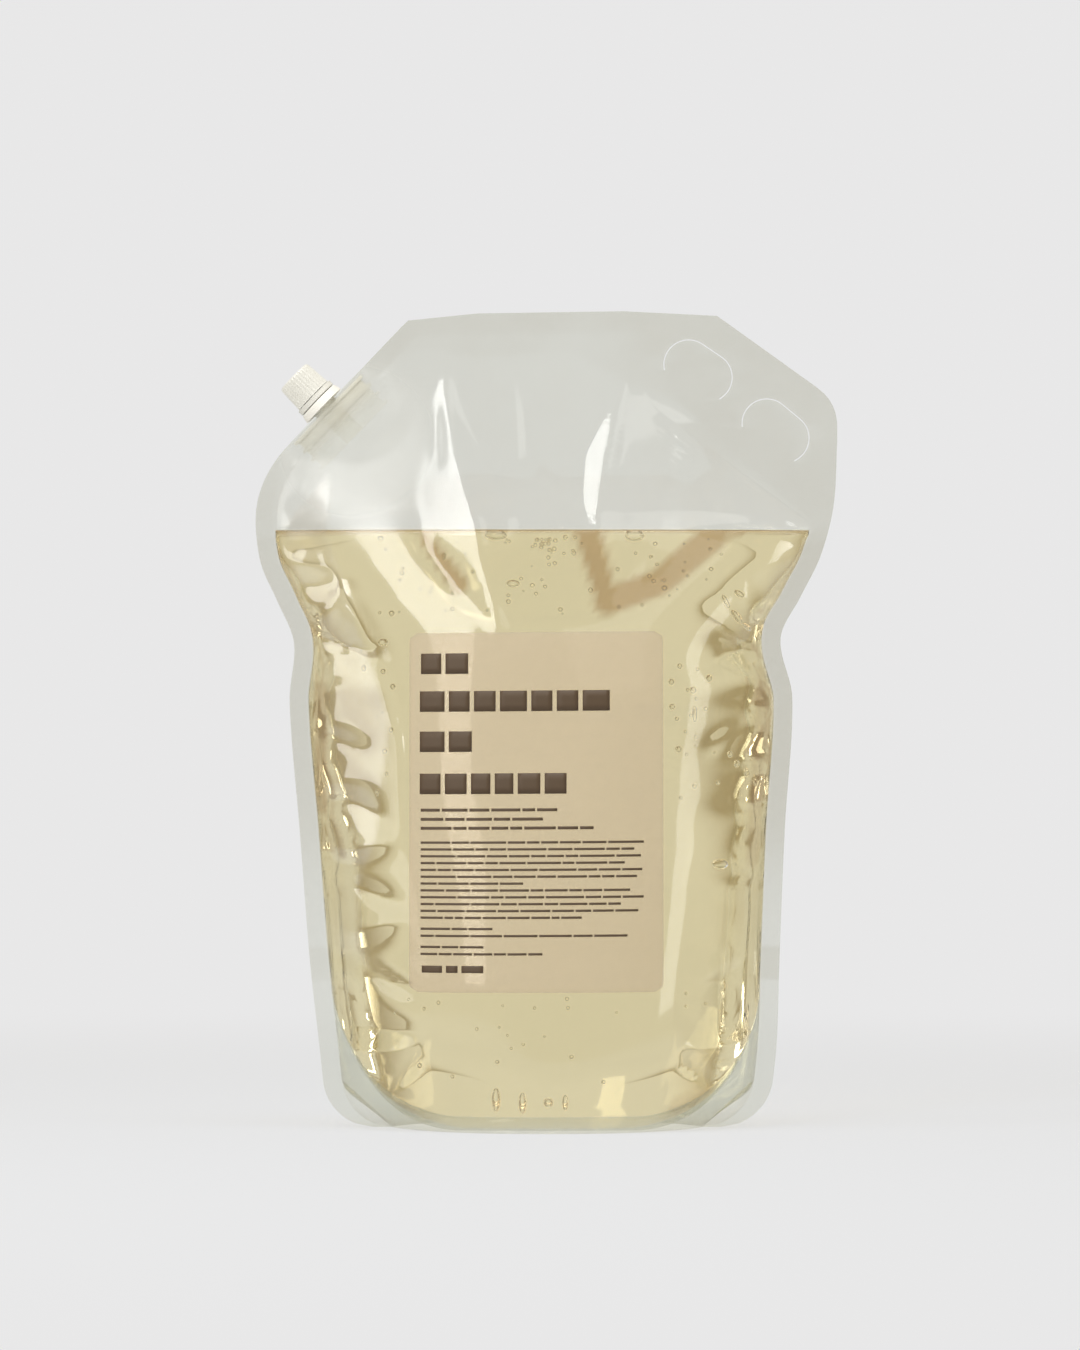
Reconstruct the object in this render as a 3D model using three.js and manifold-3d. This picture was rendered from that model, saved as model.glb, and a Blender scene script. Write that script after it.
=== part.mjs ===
// Stand-up refill pack of clear film with a corner spout, filled with two litres of shampoo.
// Units are millimetres. +Z is up, the front faces -Y, and the origin lies on the floor
// below the middle of the pack. "Left" and "right" are as seen from the front.

import * as THREE from "three";
import { mergeVertices } from "three/addons/utils/BufferGeometryUtils.js";
import Module from "manifold-3d";

const wasm = await Module();
wasm.setup();

// Film
const filmThickness = 0.25;
const drawnGap = 0.3; // left between films that are welded on the real pack, so each is a solid
const sealWidth = 7;

// Flat film outline, before the pack is filled
const packWidth = 218;
const packHeight = 304.6; // to the middle of the top edge
const topRise = 2.4; // how much higher the top edge stands at its handle end
const baseCornerRadius = 17;
const spoutCorner = { across: 59.5, down: 61.5, topRadius: 12, sideRadius: 46 };
const handleCorner = { across: 48, down: 35, topRadius: 16, sideRadius: 18 };
const handleWeld = { across: 73, down: 82, radius: 26, bendAcross: 64, bendDown: 34 };

// Filled shape. Stations are shares of the fill height; draw-in and depth are in millimetres.
const headspace = 82.6; // from the fill line to the top edge
const sideDrawIn = [
  // share of the fill height, left side, right side
  [0.0, 27.5, 26.5],
  [0.13, 24.5, 22.8],
  [0.28, 20.8, 21.6],
  [0.5, 17.0, 19.6],
  [0.72, 13.2, 16.8],
  [0.82, 14.8, 21.2],
  [0.89, 8.6, 13.6],
  [0.955, 2.4, 6.4],
  [1.04, 0.2, 1.4],
  [1.15, 0.0, 0.0],
];
const halfDepth = [
  // share of the fill height, half of the pack's depth there
  [0.0, 47.0],
  [0.12, 48.5],
  [0.3, 46.5],
  [0.5, 41.0],
  [0.7, 35.0],
  [0.82, 31.0],
  [0.9, 25.0],
  [1.0, 16.5],
  [1.1, 12.0],
  [1.2, 9.5],
];
const crownPower = 2.4; // how flat the middle of a level section is
const crownEdge = 0.78; // how steeply a level section leaves the seal
const topClosing = { headspaces: 1.4, gain: 1.6 }; // how the depth runs out below the top seal

// Bottom gusset
const skirtHeight = 6; // welded hem under the middle of the gusset
const gussetRise = 53; // height of the gusset's fold at the side seals
const gussetCornerRadius = 43;
const gussetFlat = 1.25; // over 1 gives the gusset a flat middle, where it lies on the floor
const plyEnd = { from: 2, to: 14 }; // above the fold, where the films close on each other

// Label
const label = { left: -50.5, right: 43.5, bottom: 52, top: 185, radius: 4.5, thickness: 0.12 };

// Push-in finger holes of the handle: each a slit round an oval that leaves a hinge of film.
// Oval centres lie on a line along the handle corner.
const fingerHole = { length: 27, width: 18.5, slit: 0.4, hinge: 13, tilt: -36 };
const fingerHolesFromCorner = [{ along: 14.5, in: 22.5 }, { along: 45, in: 16.5 }];

// Spout, along its own axis. Zero is the film's edge, and positive leaves the pack.
const spoutFromTop = 47.6; // along the corner cut, from its upper end to the spout's axis
const neck = { radius: 5.1, wall: 0.9, top: 14.4, lip: 0.5 };
const bead = { out: 0.85, bottom: 5.2, height: 0.9 }; // holds the tamper band on the neck
const boat = { length: 36, overNeck: 0.15, depth: 14.5, top: -1.2 };
const boatRibs = { count: 4, height: 1.3, step: 0.7 };
const collar = { overBand: 0.75, taper: 0.5, bottom: 0.4, top: 3.4, edge: 0.5 };

// How the boat props the films open round and below it
const propped = { out: 2.6, acrossShare: 0.75, start: 1, fadeFrom: 3, fadeTo: 4 };

// Screw cap and tamper band
const capGap = 0.3; // between the cap, the band and the spout
const band = { height: 2.0, wall: 1.9, edge: 0.2, edgeHeight: 0.3, beadGap: 0.4 };
const bandCatch = { height: 0.8, slope: 0.3, gap: 0.3 }; // reaches in under the bead
const nibs = { count: 8, width: 0.9, from: 0.9, to: 0.25 }; // what is left of the band's bridges
const cap = { wall: 1.6, height: 10.3, draft: 0.6, topWall: 1.4, edge: 0.8, ribs: 32, ribDepth: 0.4 };
const capBore = { gap: 0.85, taper: 0.15 };
const plug = { wall: 0.8, length: 2.4 };

// Shampoo
const fillGap = 0.5; // between the liquid and the film it wets
const fillEdge = 0.2; // how far in from the seal the liquid ends, as a share of the first cell

// Mesh fineness
const cavityColumns = 18;
const rowCounts = { gusset: 6, lower: 6, waist: 8, headspace: 9, seal: 4 };
const sealRowsBelow = 6; // the rows of the top seal begin this far below it
const fillDepthCells = 4;
const skirtCells = 2;
const archCells = 8;
const roundSegments = 48;

// Values that follow from the ones above
const halfWidth = packWidth / 2;
const fillHeight = packHeight - headspace;
const sheetGap = drawnGap + filmThickness; // pitch of two welded films
const deepest = Math.max(...halfDepth.map((station) => station[1]));
const boreRadius = neck.radius - neck.wall;
const boatThickness = 2 * (neck.radius + boat.overNeck);
const beadRadius = neck.radius + bead.out;
const bandRadius = beadRadius + band.beadGap + band.wall;
const capRadius = neck.radius + capBore.gap + cap.wall;
const capTopRadius = capRadius - cap.draft;

const EPSILON = 0.05;

// Numbers along a profile

// Smooth value of column `column` of a station table at `share`.
function stationValue(table, column, share) {
  const last = table.length - 1;
  let i = 0;
  while (i < last - 1 && table[i + 1][0] < share) i++;
  const [a, b] = [table[i], table[i + 1]];
  const t = THREE.MathUtils.clamp((share - a[0]) / (b[0] - a[0]), 0, 1);
  const before = table[Math.max(i - 1, 0)];
  const after = table[Math.min(i + 2, last)];
  const slopeA = (b[column] - before[column]) / (b[0] - before[0]);
  const slopeB = (after[column] - a[column]) / (after[0] - a[0]);
  const span = b[0] - a[0];
  const t2 = t * t;
  const t3 = t2 * t;
  return (
    (2 * t3 - 3 * t2 + 1) * a[column] +
    (t3 - 2 * t2 + t) * span * slopeA +
    (3 * t2 - 2 * t3) * b[column] +
    (t3 - t2) * span * slopeB
  );
}

// Polyline whose corners are rounded, as a THREE.Path. Corners are [x, z, radius].
function roundedPath(corners) {
  const path = new THREE.Path();
  const points = corners.map(([x, z]) => new THREE.Vector2(x, z));
  path.moveTo(points[0].x, points[0].y);
  for (let i = 1; i < points.length - 1; i++) {
    const back = points[i - 1].clone().sub(points[i]);
    const ahead = points[i + 1].clone().sub(points[i]);
    const turn = Math.PI - Math.acos(back.dot(ahead) / (back.length() * ahead.length()));
    const reach = Math.min(
      corners[i][2] * Math.tan(turn / 2),
      0.49 * back.length(),
      0.49 * ahead.length(),
    );
    const from = points[i].clone().add(back.setLength(reach));
    const to = points[i].clone().add(ahead.setLength(reach));
    path.lineTo(from.x, from.y);
    path.quadraticCurveTo(points[i].x, points[i].y, to.x, to.y);
  }
  const end = points[points.length - 1];
  path.lineTo(end.x, end.y);
  return path;
}

// x of a path that only climbs, as a function of height.
function pathByHeight(path) {
  const points = path.getSpacedPoints(400);
  return (z) => {
    let low = 0;
    let high = points.length - 1;
    if (z <= points[low].y) return points[low].x;
    if (z >= points[high].y) return points[high].x;
    while (high - low > 1) {
      const middle = (low + high) >> 1;
      if (points[middle].y <= z) low = middle;
      else high = middle;
    }
    const [a, b] = [points[low], points[high]];
    return a.x + ((b.x - a.x) * (z - a.y)) / Math.max(b.y - a.y, 1e-6);
  };
}

// Outline of the film and of the cavity, both as functions of height

const flatEdge = {
  left: pathByHeight(
    roundedPath([
      [halfWidth, 0],
      [halfWidth, packHeight - spoutCorner.down, spoutCorner.sideRadius],
      [halfWidth - spoutCorner.across, packHeight, spoutCorner.topRadius],
      [halfWidth - spoutCorner.across - 2 * spoutCorner.topRadius, packHeight],
    ]),
  ),
  right: pathByHeight(
    roundedPath([
      [halfWidth, 0],
      [halfWidth, packHeight - handleCorner.down, handleCorner.sideRadius],
      [halfWidth - handleCorner.across, packHeight, handleCorner.topRadius],
      [halfWidth - handleCorner.across - 2 * handleCorner.topRadius, packHeight],
    ]),
  ),
};

const handleWeldEdge = pathByHeight(
  roundedPath([
    [halfWidth, packHeight - handleWeld.down],
    [halfWidth - handleWeld.bendAcross, packHeight - handleWeld.bendDown, handleWeld.radius],
    [halfWidth - handleWeld.across, packHeight],
  ]),
);

// Distance of the film's edge from the middle of the pack, on the "left" or "right" side.
function outerEdge(side, z) {
  const drawIn = stationValue(sideDrawIn, side === "left" ? 1 : 2, z / fillHeight);
  return flatEdge[side](z) - drawIn;
}

// Distance of the cavity's edge from the middle: the seal's inner line, or the handle weld.
function innerEdge(side, z) {
  const step = 1;
  const slope = (outerEdge(side, z + step) - outerEdge(side, z - step)) / (2 * step);
  const seal = outerEdge(side, z) - sealWidth * Math.min(Math.hypot(1, slope), 2.5);
  return side === "right" ? Math.min(seal, handleWeldEdge(z) - sealWidth) : seal;
}

// Columns run from the left edge of the film to the right one. The first and last cells are the
// seal bands, and the cells between crowd together towards the seals, where the film is steepest.
const columnCount = cavityColumns + 2;

function cavityShare(column) {
  return Math.sin((Math.PI / 2) * ((2 * (column - 1)) / cavityColumns - 1));
}

function columnX(column, z) {
  if (column === 0) return -outerEdge("left", z);
  if (column === columnCount) return outerEdge("right", z);
  const left = -innerEdge("left", z);
  const right = innerEdge("right", z);
  return left + ((right - left) * (cavityShare(column) + 1)) / 2;
}

// Lean of the top edge: heights grow towards the handle end, in proportion to height.
function leaned(point) {
  point.z *= 1 + ((topRise / packHeight) * point.x) / (packWidth - spoutCorner.across);
  return point;
}

// The spout's frame: on the corner cut, with its axis square to that cut.
const spoutTilt = Math.atan2(spoutCorner.down, spoutCorner.across);
const spoutOrigin = leaned(
  new THREE.Vector3(
    -(halfWidth - spoutCorner.across) - spoutFromTop * Math.cos(spoutTilt),
    0,
    packHeight - spoutFromTop * Math.sin(spoutTilt),
  ),
);

// Filled form of the films

// Half of the gap between the two films at the spout, which the boat props open past its end.
function boatSwell(x, z) {
  const dx = x - spoutOrigin.x;
  const dz = z - spoutOrigin.z;
  const along = dx * Math.cos(spoutTilt) + dz * Math.sin(spoutTilt);
  const inwards = dx * Math.sin(spoutTilt) - dz * Math.cos(spoutTilt);
  const across = Math.max(0, 1 - (along / (propped.acrossShare * boat.length)) ** 2);
  const { smoothstep } = THREE.MathUtils;
  const rise = smoothstep(inwards, sealWidth, boat.depth + propped.start);
  const fade = smoothstep(inwards, boat.depth + propped.fadeFrom, propped.fadeTo * boat.depth);
  return (boatThickness / 2 + propped.out) * across * rise * (1 - fade);
}

// Room for the gusset's two films between the front and the back, at height z.
function plyRoom(z) {
  const above = THREE.MathUtils.smoothstep(z, gussetRise + plyEnd.from, gussetRise + plyEnd.to);
  return drawnGap / 2 + (1 - above) * sheetGap;
}

// Distance from the middle plane to the inner face of the front or back film.
function wallAt(column, z) {
  const share = THREE.MathUtils.clamp(Math.abs(cavityShare(column)), 0, 1);
  if (column < 1 || column > columnCount - 1) return plyRoom(z);
  const crown = Math.max(0, 1 - share ** crownPower) ** crownEdge;
  const toSeal = packHeight - sealWidth - z;
  const closing = THREE.MathUtils.smoothstep(toSeal, 0, topClosing.headspaces * headspace);
  const full = stationValue(halfDepth, 1, z / fillHeight);
  const depth = full * Math.min(1, topClosing.gain * closing);
  return plyRoom(z) + Math.max(depth * crown, crown > 0 ? boatSwell(columnX(column, z), z) : 0);
}

// Heights of the film's rows: closer where the outline or the depth turns quickly.
const filmRows = stationHeights([
  [0, 0],
  [gussetRise + plyEnd.from, rowCounts.gusset],
  [0.7 * fillHeight, rowCounts.lower],
  [fillHeight, rowCounts.waist],
  [packHeight - sealWidth - sealRowsBelow, rowCounts.headspace],
  [packHeight, rowCounts.seal],
]);

function stationHeights(breaks) {
  const heights = [breaks[0][0]];
  for (let i = 1; i < breaks.length; i++) {
    const [from, to, count] = [breaks[i - 1][0], breaks[i][0], breaks[i][1]];
    for (let k = 1; k <= count; k++) heights.push(from + ((to - from) * k) / count);
  }
  return heights;
}

// The film's corners, row by row: x of each column, and the inner face's distance from y = 0.
const filmGrid = filmRows.map((z) => {
  const row = [];
  for (let column = 0; column <= columnCount; column++) {
    row.push({ x: columnX(column, z), wall: wallAt(column, z) });
  }
  return row;
});

// The film's faceted inner face at a column and a height, so that what lies on it fits its facets.
function filmAt(column, z) {
  const height = THREE.MathUtils.clamp(z, 0, packHeight);
  let row = 0;
  while (row < filmRows.length - 2 && filmRows[row + 1] < height) row++;
  const up = (height - filmRows[row]) / (filmRows[row + 1] - filmRows[row]);
  const from = Math.min(Math.floor(column), columnCount - 1);
  const across = column - from;
  const blend = (key) => {
    const low = THREE.MathUtils.lerp(filmGrid[row][from][key], filmGrid[row][from + 1][key], across);
    const high = THREE.MathUtils.lerp(
      filmGrid[row + 1][from][key],
      filmGrid[row + 1][from + 1][key],
      across,
    );
    return THREE.MathUtils.lerp(low, high, up);
  };
  return { x: blend("x"), wall: blend("wall") };
}

// Solids from mapped blocks and from manifold-3d

// A block of cells whose corners are moved by place(column, layer, row, point).
function mappedBlock(columns, layers, rows, place) {
  const block = new THREE.BoxGeometry(columns, layers, rows, columns, layers, rows);
  block.translate(columns / 2, layers / 2, rows / 2);
  const positions = block.attributes.position;
  const point = new THREE.Vector3();
  for (let i = 0; i < positions.count; i++) {
    point.fromBufferAttribute(positions, i).round();
    place(point.x, point.y, point.z, point);
    positions.setXYZ(i, point.x, point.y, point.z);
  }
  return alignDiagonals(block);
}

// Splits the squares of opposite faces along the same diagonal, so that a thin wall keeps its
// thickness where it twists.
function alignDiagonals(block) {
  const index = block.index;
  for (const face of [1, 3, 5]) {
    const { start, count } = block.groups[face];
    for (let i = start; i < start + count; i += 6) {
      const [a, b, c, d] = [0, 1, 4, 2].map((k) => index.getX(i + k));
      [a, b, c, a, c, d].forEach((vertex, k) => index.setX(i + k, vertex));
    }
  }
  return block;
}

function toSolid(geometry) {
  const bare = geometry.index ? geometry.toNonIndexed() : geometry.clone();
  for (const name of Object.keys(bare.attributes)) {
    if (name !== "position") bare.deleteAttribute(name);
  }
  const merged = mergeVertices(bare, 1e-4);
  return new wasm.Manifold(
    new wasm.Mesh({
      numProp: 3,
      vertProperties: merged.attributes.position.array,
      triVerts: new Uint32Array(merged.index.array),
    }),
  );
}

function toGeometry(solid) {
  const mesh = solid.getMesh();
  const positions = new Float32Array(mesh.numVert * 3);
  for (let i = 0; i < mesh.numVert; i++) {
    positions.set(mesh.vertProperties.subarray(i * mesh.numProp, i * mesh.numProp + 3), i * 3);
  }
  const geometry = new THREE.BufferGeometry();
  geometry.setAttribute("position", new THREE.BufferAttribute(positions, 3));
  geometry.setIndex(new THREE.BufferAttribute(new Uint32Array(mesh.triVerts), 1));
  geometry.computeVertexNormals();
  return geometry;
}

// A prism of `shape`, drawn in X and Y, from height `bottom` to `top`.
function prism(shape, bottom, top, curveSegments = 12) {
  const depth = top - bottom;
  const geometry = new THREE.ExtrudeGeometry(shape, { depth, bevelEnabled: false, curveSegments });
  return geometry.translate(0, 0, bottom);
}

// A turned solid about Z. Points are [radius, height] and go round the section once.
function turned(points, segments = roundSegments) {
  const profile = points.map(([radius, height]) => new THREE.Vector2(radius, height));
  if (points[0][0] > 0) profile.push(profile[0].clone());
  return new THREE.LatheGeometry(profile, segments).rotateX(Math.PI / 2);
}

// A prism that runs along Y through the whole pack, for cuts drawn in X and Z.
function throughPack(shape) {
  const geometry = prism(shape, -2 * deepest, 2 * deepest, 10);
  return toSolid(geometry.rotateX(Math.PI / 2));
}

// Spout

// Section of the boat, pointed at both ends and grown outwards by `grow`.
function boatSection(grow) {
  const length = boat.length / 2 + 2 * grow;
  const bulge = boatThickness + 2 * grow;
  const shape = new THREE.Shape();
  shape.moveTo(-length, 0);
  shape.quadraticCurveTo(0, -bulge, length, 0);
  shape.quadraticCurveTo(0, bulge, -length, 0);
  return shape;
}

const boatBottom = boat.top - boat.depth;

function spoutGeometry() {
  let solid = toSolid(prism(boatSection(-boatRibs.step), boatBottom, boat.top));
  const pitch = (boat.depth - boatRibs.height) / (boatRibs.count - 1);
  for (let i = 0; i < boatRibs.count; i++) {
    const bottom = boatBottom + i * pitch;
    solid = solid.add(toSolid(prism(boatSection(0), bottom, bottom + boatRibs.height)));
  }
  const beadTop = bead.bottom + bead.height;
  const collarRadius = bandRadius + collar.overBand;
  const outside = turned([
    [0, boat.top - EPSILON],
    [neck.radius, boat.top - EPSILON],
    [neck.radius, collar.bottom],
    [collarRadius, collar.bottom],
    [collarRadius - collar.taper, collar.top - collar.edge],
    [collarRadius - collar.taper - collar.edge, collar.top],
    [neck.radius, collar.top],
    [neck.radius, bead.bottom],
    [beadRadius, bead.bottom],
    [beadRadius, beadTop - bead.height / 2],
    [neck.radius, beadTop],
    [neck.radius, neck.top - neck.lip],
    [neck.radius - neck.lip, neck.top],
    [0, neck.top],
  ]);
  const bore = turned([
    [0, boatBottom - 1],
    [boreRadius, boatBottom - 1],
    [boreRadius, neck.top + 1],
    [0, neck.top + 1],
  ]);
  return toGeometry(solid.add(toSolid(outside)).subtract(toSolid(bore)));
}

// Tamper band: stays under the neck's bead when the cap breaks away from it.
const bandBottom = collar.top + capGap;
const bandTop = bandBottom + band.height;
const capBottom = bandTop + capGap;

function tamperBandGeometry() {
  const inside = bandRadius - band.wall;
  const catchRadius = neck.radius + bandCatch.gap;
  const catchTop = bandBottom + bandCatch.height;
  const ring = turned([
    [catchRadius, bandBottom],
    [bandRadius - band.edge, bandBottom],
    [bandRadius, bandBottom + band.edgeHeight],
    [bandRadius, bandTop],
    [inside, bandTop],
    [inside, catchTop + bandCatch.slope],
    [catchRadius, catchTop],
  ]);
  let solid = toSolid(ring);
  const height = EPSILON + capGap / 2;
  const nib = new THREE.BoxGeometry(nibs.from - nibs.to, nibs.width, height);
  nib.translate(bandRadius - (nibs.from + nibs.to) / 2, 0, bandTop - EPSILON + height / 2);
  for (let i = 0; i < nibs.count; i++) {
    solid = solid.add(toSolid(nib.clone().rotateZ((2 * Math.PI * i) / nibs.count)));
  }
  return toGeometry(solid);
}

// Cap outline with its grip ribs, at the cap's lower edge.
function capOutline() {
  const shape = new THREE.Shape();
  const steps = 4 * cap.ribs;
  for (let i = 0; i < steps; i++) {
    const angle = (2 * Math.PI * i) / steps;
    const radius = i % 4 < 2 ? capRadius : capRadius - cap.ribDepth;
    const [x, y] = [radius * Math.cos(angle), radius * Math.sin(angle)];
    if (i === 0) shape.moveTo(x, y);
    else shape.lineTo(x, y);
  }
  return shape;
}

function screwCapGeometry() {
  const top = capBottom + cap.height;
  const ribbed = prism(capOutline(), capBottom, top);
  const positions = ribbed.attributes.position;
  const draft = (1 - capTopRadius / capRadius) / cap.height;
  for (let i = 0; i < positions.count; i++) {
    const share = 1 - draft * (positions.getZ(i) - capBottom);
    positions.setXY(i, positions.getX(i) * share, positions.getY(i) * share);
  }
  const envelope = turned([
    [0, capBottom],
    [capRadius + 1, capBottom],
    [capRadius + 1, capBottom + cap.height / 2],
    [capTopRadius, top - cap.edge],
    [capTopRadius - cap.edge / 3, top - cap.edge / 3],
    [capTopRadius - cap.edge, top],
    [0, top],
  ]);
  const ceiling = top - cap.topWall;
  const boreAtMouth = neck.radius + capBore.gap;
  const plugOuter = boreRadius - capGap;
  const hollow = turned([
    [0, capBottom - 1],
    [boreAtMouth, capBottom - 1],
    [boreAtMouth, capBottom],
    [boreAtMouth - capBore.taper, ceiling],
    [plugOuter, ceiling],
    [plugOuter, ceiling - plug.length],
    [plugOuter - plug.wall, ceiling - plug.length],
    [plugOuter - plug.wall, ceiling],
    [0, ceiling],
  ]);
  return toGeometry(toSolid(ribbed).intersect(toSolid(envelope)).subtract(toSolid(hollow)));
}

// Films

const spoutMatrix = new THREE.Matrix4()
  .makeRotationY(-spoutTilt)
  .setPosition(spoutOrigin.x, spoutOrigin.y, spoutOrigin.z);

// A prism with the boat's section, grown on all sides, between two heights on the spout's axis.
function boatPrism(grow, bottom, top) {
  return toSolid(prism(boatSection(grow), bottom, top).applyMatrix4(spoutMatrix));
}

// All that lies behind the middle plane and inside a face that is `offset` outside the film's
// inner face. It starts at y = `start`, and `margin` widens it past the film's outline.
function behindFace(offset, start, margin) {
  const rows = filmRows.length - 1;
  const block = mappedBlock(columnCount, 1, rows, (column, layer, row, point) => {
    const { x, wall } = filmGrid[row][column];
    leaned(point.set(x, layer === 0 ? start : wall + offset, filmRows[row]));
    if (column === 0) point.x -= margin;
    if (column === columnCount) point.x += margin;
    if (row === 0) point.z -= margin;
    if (row === rows) point.z += margin;
  });
  return toSolid(block);
}

// One oval of the handle: a slit through the film, broken by a hinge on its lower left side.
function fingerSlit({ along, in: inwards }) {
  const slope = Math.atan2(handleCorner.down, handleCorner.across);
  const corner = new THREE.Vector2(halfWidth - handleCorner.across, packHeight + topRise / 2);
  const centreX = corner.x + along * Math.cos(slope) - inwards * Math.sin(slope);
  const centreZ = corner.y - along * Math.sin(slope) - inwards * Math.cos(slope);
  const oval = (grow) => {
    const radius = fingerHole.width / 2 + grow;
    const straight = (fingerHole.length - fingerHole.width) / 2;
    const shape = new THREE.Shape();
    shape.absarc(straight, 0, radius, -Math.PI / 2, Math.PI / 2, false);
    shape.absarc(-straight, 0, radius, Math.PI / 2, (3 * Math.PI) / 2, false);
    return throughPack(shape);
  };
  const hinge = new THREE.BoxGeometry(fingerHole.hinge, 4 * deepest, fingerHole.width);
  hinge.translate(-fingerHole.length / 8, 0, -fingerHole.width / 2);
  const slit = oval(0).subtract(oval(-fingerHole.slit)).subtract(toSolid(hinge));
  return slit.rotate([0, -fingerHole.tilt, 0]).translate([centreX, 0, centreZ]);
}

// The waste outside the rounded corners of the base.
function baseCorners() {
  const waste = ["left", "right"].map((side) => {
    const edge = outerEdge(side, baseCornerRadius);
    const out = edge + 2 * baseCornerRadius;
    const shape = new THREE.Shape();
    shape.moveTo(out, baseCornerRadius);
    shape.lineTo(edge, baseCornerRadius);
    shape.absarc(edge - baseCornerRadius, baseCornerRadius, baseCornerRadius, 0, -Math.PI / 2, true);
    shape.lineTo(edge - baseCornerRadius, -baseCornerRadius);
    shape.lineTo(out, -baseCornerRadius);
    const cut = throughPack(shape);
    return side === "left" ? cut.mirror([1, 0, 0]) : cut;
  });
  return waste[0].add(waste[1]);
}

// The back film. The front film is its mirror image. The film is what lies between its outer and
// inner faces, and both faces run round the boat where the spout is welded in.
function backFilm() {
  const boatEnd = boatBottom - drawnGap;
  const outside = behindFace(filmThickness, -filmThickness, 0).add(
    boatPrism(drawnGap + filmThickness, boatEnd, 0),
  );
  const inside = behindFace(0, -boatThickness, drawnGap).add(
    boatPrism(drawnGap, boatEnd - filmThickness, drawnGap),
  );
  const middle = new THREE.BoxGeometry(3 * packWidth, boatThickness, 3 * packHeight);
  middle.translate(0, (drawnGap - boatThickness) / 2, 0);
  let film = outside.subtract(inside).subtract(toSolid(middle)).subtract(baseCorners());
  for (const hole of fingerHolesFromCorner) film = film.subtract(fingerSlit(hole));
  return film;
}

// Bottom gusset

// Height of the curved weld that joins the gusset to the front and back, at column and height.
function gussetWeldHeight(column) {
  const inner = THREE.MathUtils.clamp(column, 1, columnCount - 1);
  const side = inner < columnCount / 2 ? "left" : "right";
  const reach = innerEdge(side, gussetRise);
  const straight = reach - gussetCornerRadius;
  const x = Math.min(Math.abs(columnX(inner, gussetRise)), reach);
  const past = Math.max(0, x - straight);
  const drop = Math.sqrt(Math.max(0, gussetCornerRadius ** 2 - past ** 2));
  const rise = (gussetCornerRadius - drop) / gussetCornerRadius;
  return skirtHeight + (gussetRise - skirtHeight) * rise;
}

// How far the gusset's middle hangs below its weld: down to the floor under the liquid.
function gussetSag(column) {
  const share = Math.abs(cavityShare(THREE.MathUtils.clamp(column, 1, columnCount - 1)));
  return skirtHeight * Math.min(1, gussetFlat * Math.max(0, 1 - share ** 4));
}

// Share of that sag at a place between the front weld, 1, and the middle, 0.
function sagAcross(across) {
  return Math.min(1, gussetFlat * (1 - Math.abs(across) ** 3));
}

// Point of the gusset's lower face in a column: up the front hem, over the arch, down the back.
function gussetPoint(column, step, upper, point) {
  const weld = gussetWeldHeight(column);
  const steps = 2 * skirtCells + archCells;
  const back = step > steps / 2;
  const fromHem = back ? steps - step : step;
  const onSkirt = fromHem <= skirtCells;
  const across = onSkirt ? 1 : 1 - (fromHem - skirtCells) / (archCells / 2);
  const lower = onSkirt ? (weld * fromHem) / skirtCells : weld - gussetSag(column) * sagAcross(across);
  const height = onSkirt ? lower : weld;
  const film = filmAt(column, height);
  const ply = Math.max(film.wall - sheetGap, drawnGap / 2);
  const y = (ply + (upper && onSkirt ? filmThickness : 0)) * across;
  const thick = upper && fromHem >= skirtCells ? filmThickness : 0;
  return leaned(point.set(film.x, back ? y : -y, lower + thick));
}

function gussetGeometry() {
  const steps = 2 * skirtCells + archCells;
  const strip = mappedBlock(columnCount, steps, 1, (column, step, layer, point) => {
    gussetPoint(column, step, layer === 1, point);
  });
  return toGeometry(toSolid(strip).subtract(baseCorners()));
}

// Shampoo

// Above the gusset the liquid's rows are the film's own, up to the fill line.
const fillLevels = filmRows.slice(rowCounts.gusset).filter((z) => z < fillHeight + EPSILON);

function fillGeometry() {
  const gussetRows = rowCounts.gusset;
  const rows = gussetRows + fillLevels.length - 1;
  const block = mappedBlock(cavityColumns, fillDepthCells, rows, (cell, layer, row, point) => {
    let column = cell + 1;
    if (cell === 0) column += fillEdge;
    if (cell === cavityColumns) column -= fillEdge;
    const across = (2 * layer) / fillDepthCells - 1;
    const hang = gussetSag(column) * sagAcross(across);
    const bottom = gussetWeldHeight(column) - hang + filmThickness + fillGap;
    const low = bottom + ((fillLevels[0] - bottom) * row) / gussetRows;
    const z = row < gussetRows ? low : fillLevels[row - gussetRows];
    const film = filmAt(column, z);
    point.set(film.x, across * Math.max(film.wall - fillGap, EPSILON), z);
    if (row < rows) leaned(point);
  });
  return toGeometry(toSolid(block));
}

// Label, stuck on the front film: a sheet over the film's own cells, cut to the label's outline

function labelGeometry() {
  const { left, right, bottom, top, radius, thickness } = label;
  const firstRow = filmRows.findLastIndex((z) => z < bottom - EPSILON - topRise);
  const lastRow = filmRows.findIndex((z) => z > top + EPSILON + topRise);
  const columns = columnCount - 2;
  const sheet = mappedBlock(columns, 1, lastRow - firstRow, (column, layer, row, point) => {
    const { x, wall } = filmGrid[firstRow + row][column + 1];
    const y = wall + filmThickness + drawnGap + (layer === 0 ? thickness : 0);
    leaned(point.set(x, -y, filmRows[firstRow + row]));
  });
  const outline = throughPack(roundedRectangle(left, right, bottom, top, radius));
  return toGeometry(toSolid(sheet).intersect(outline));
}

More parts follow.
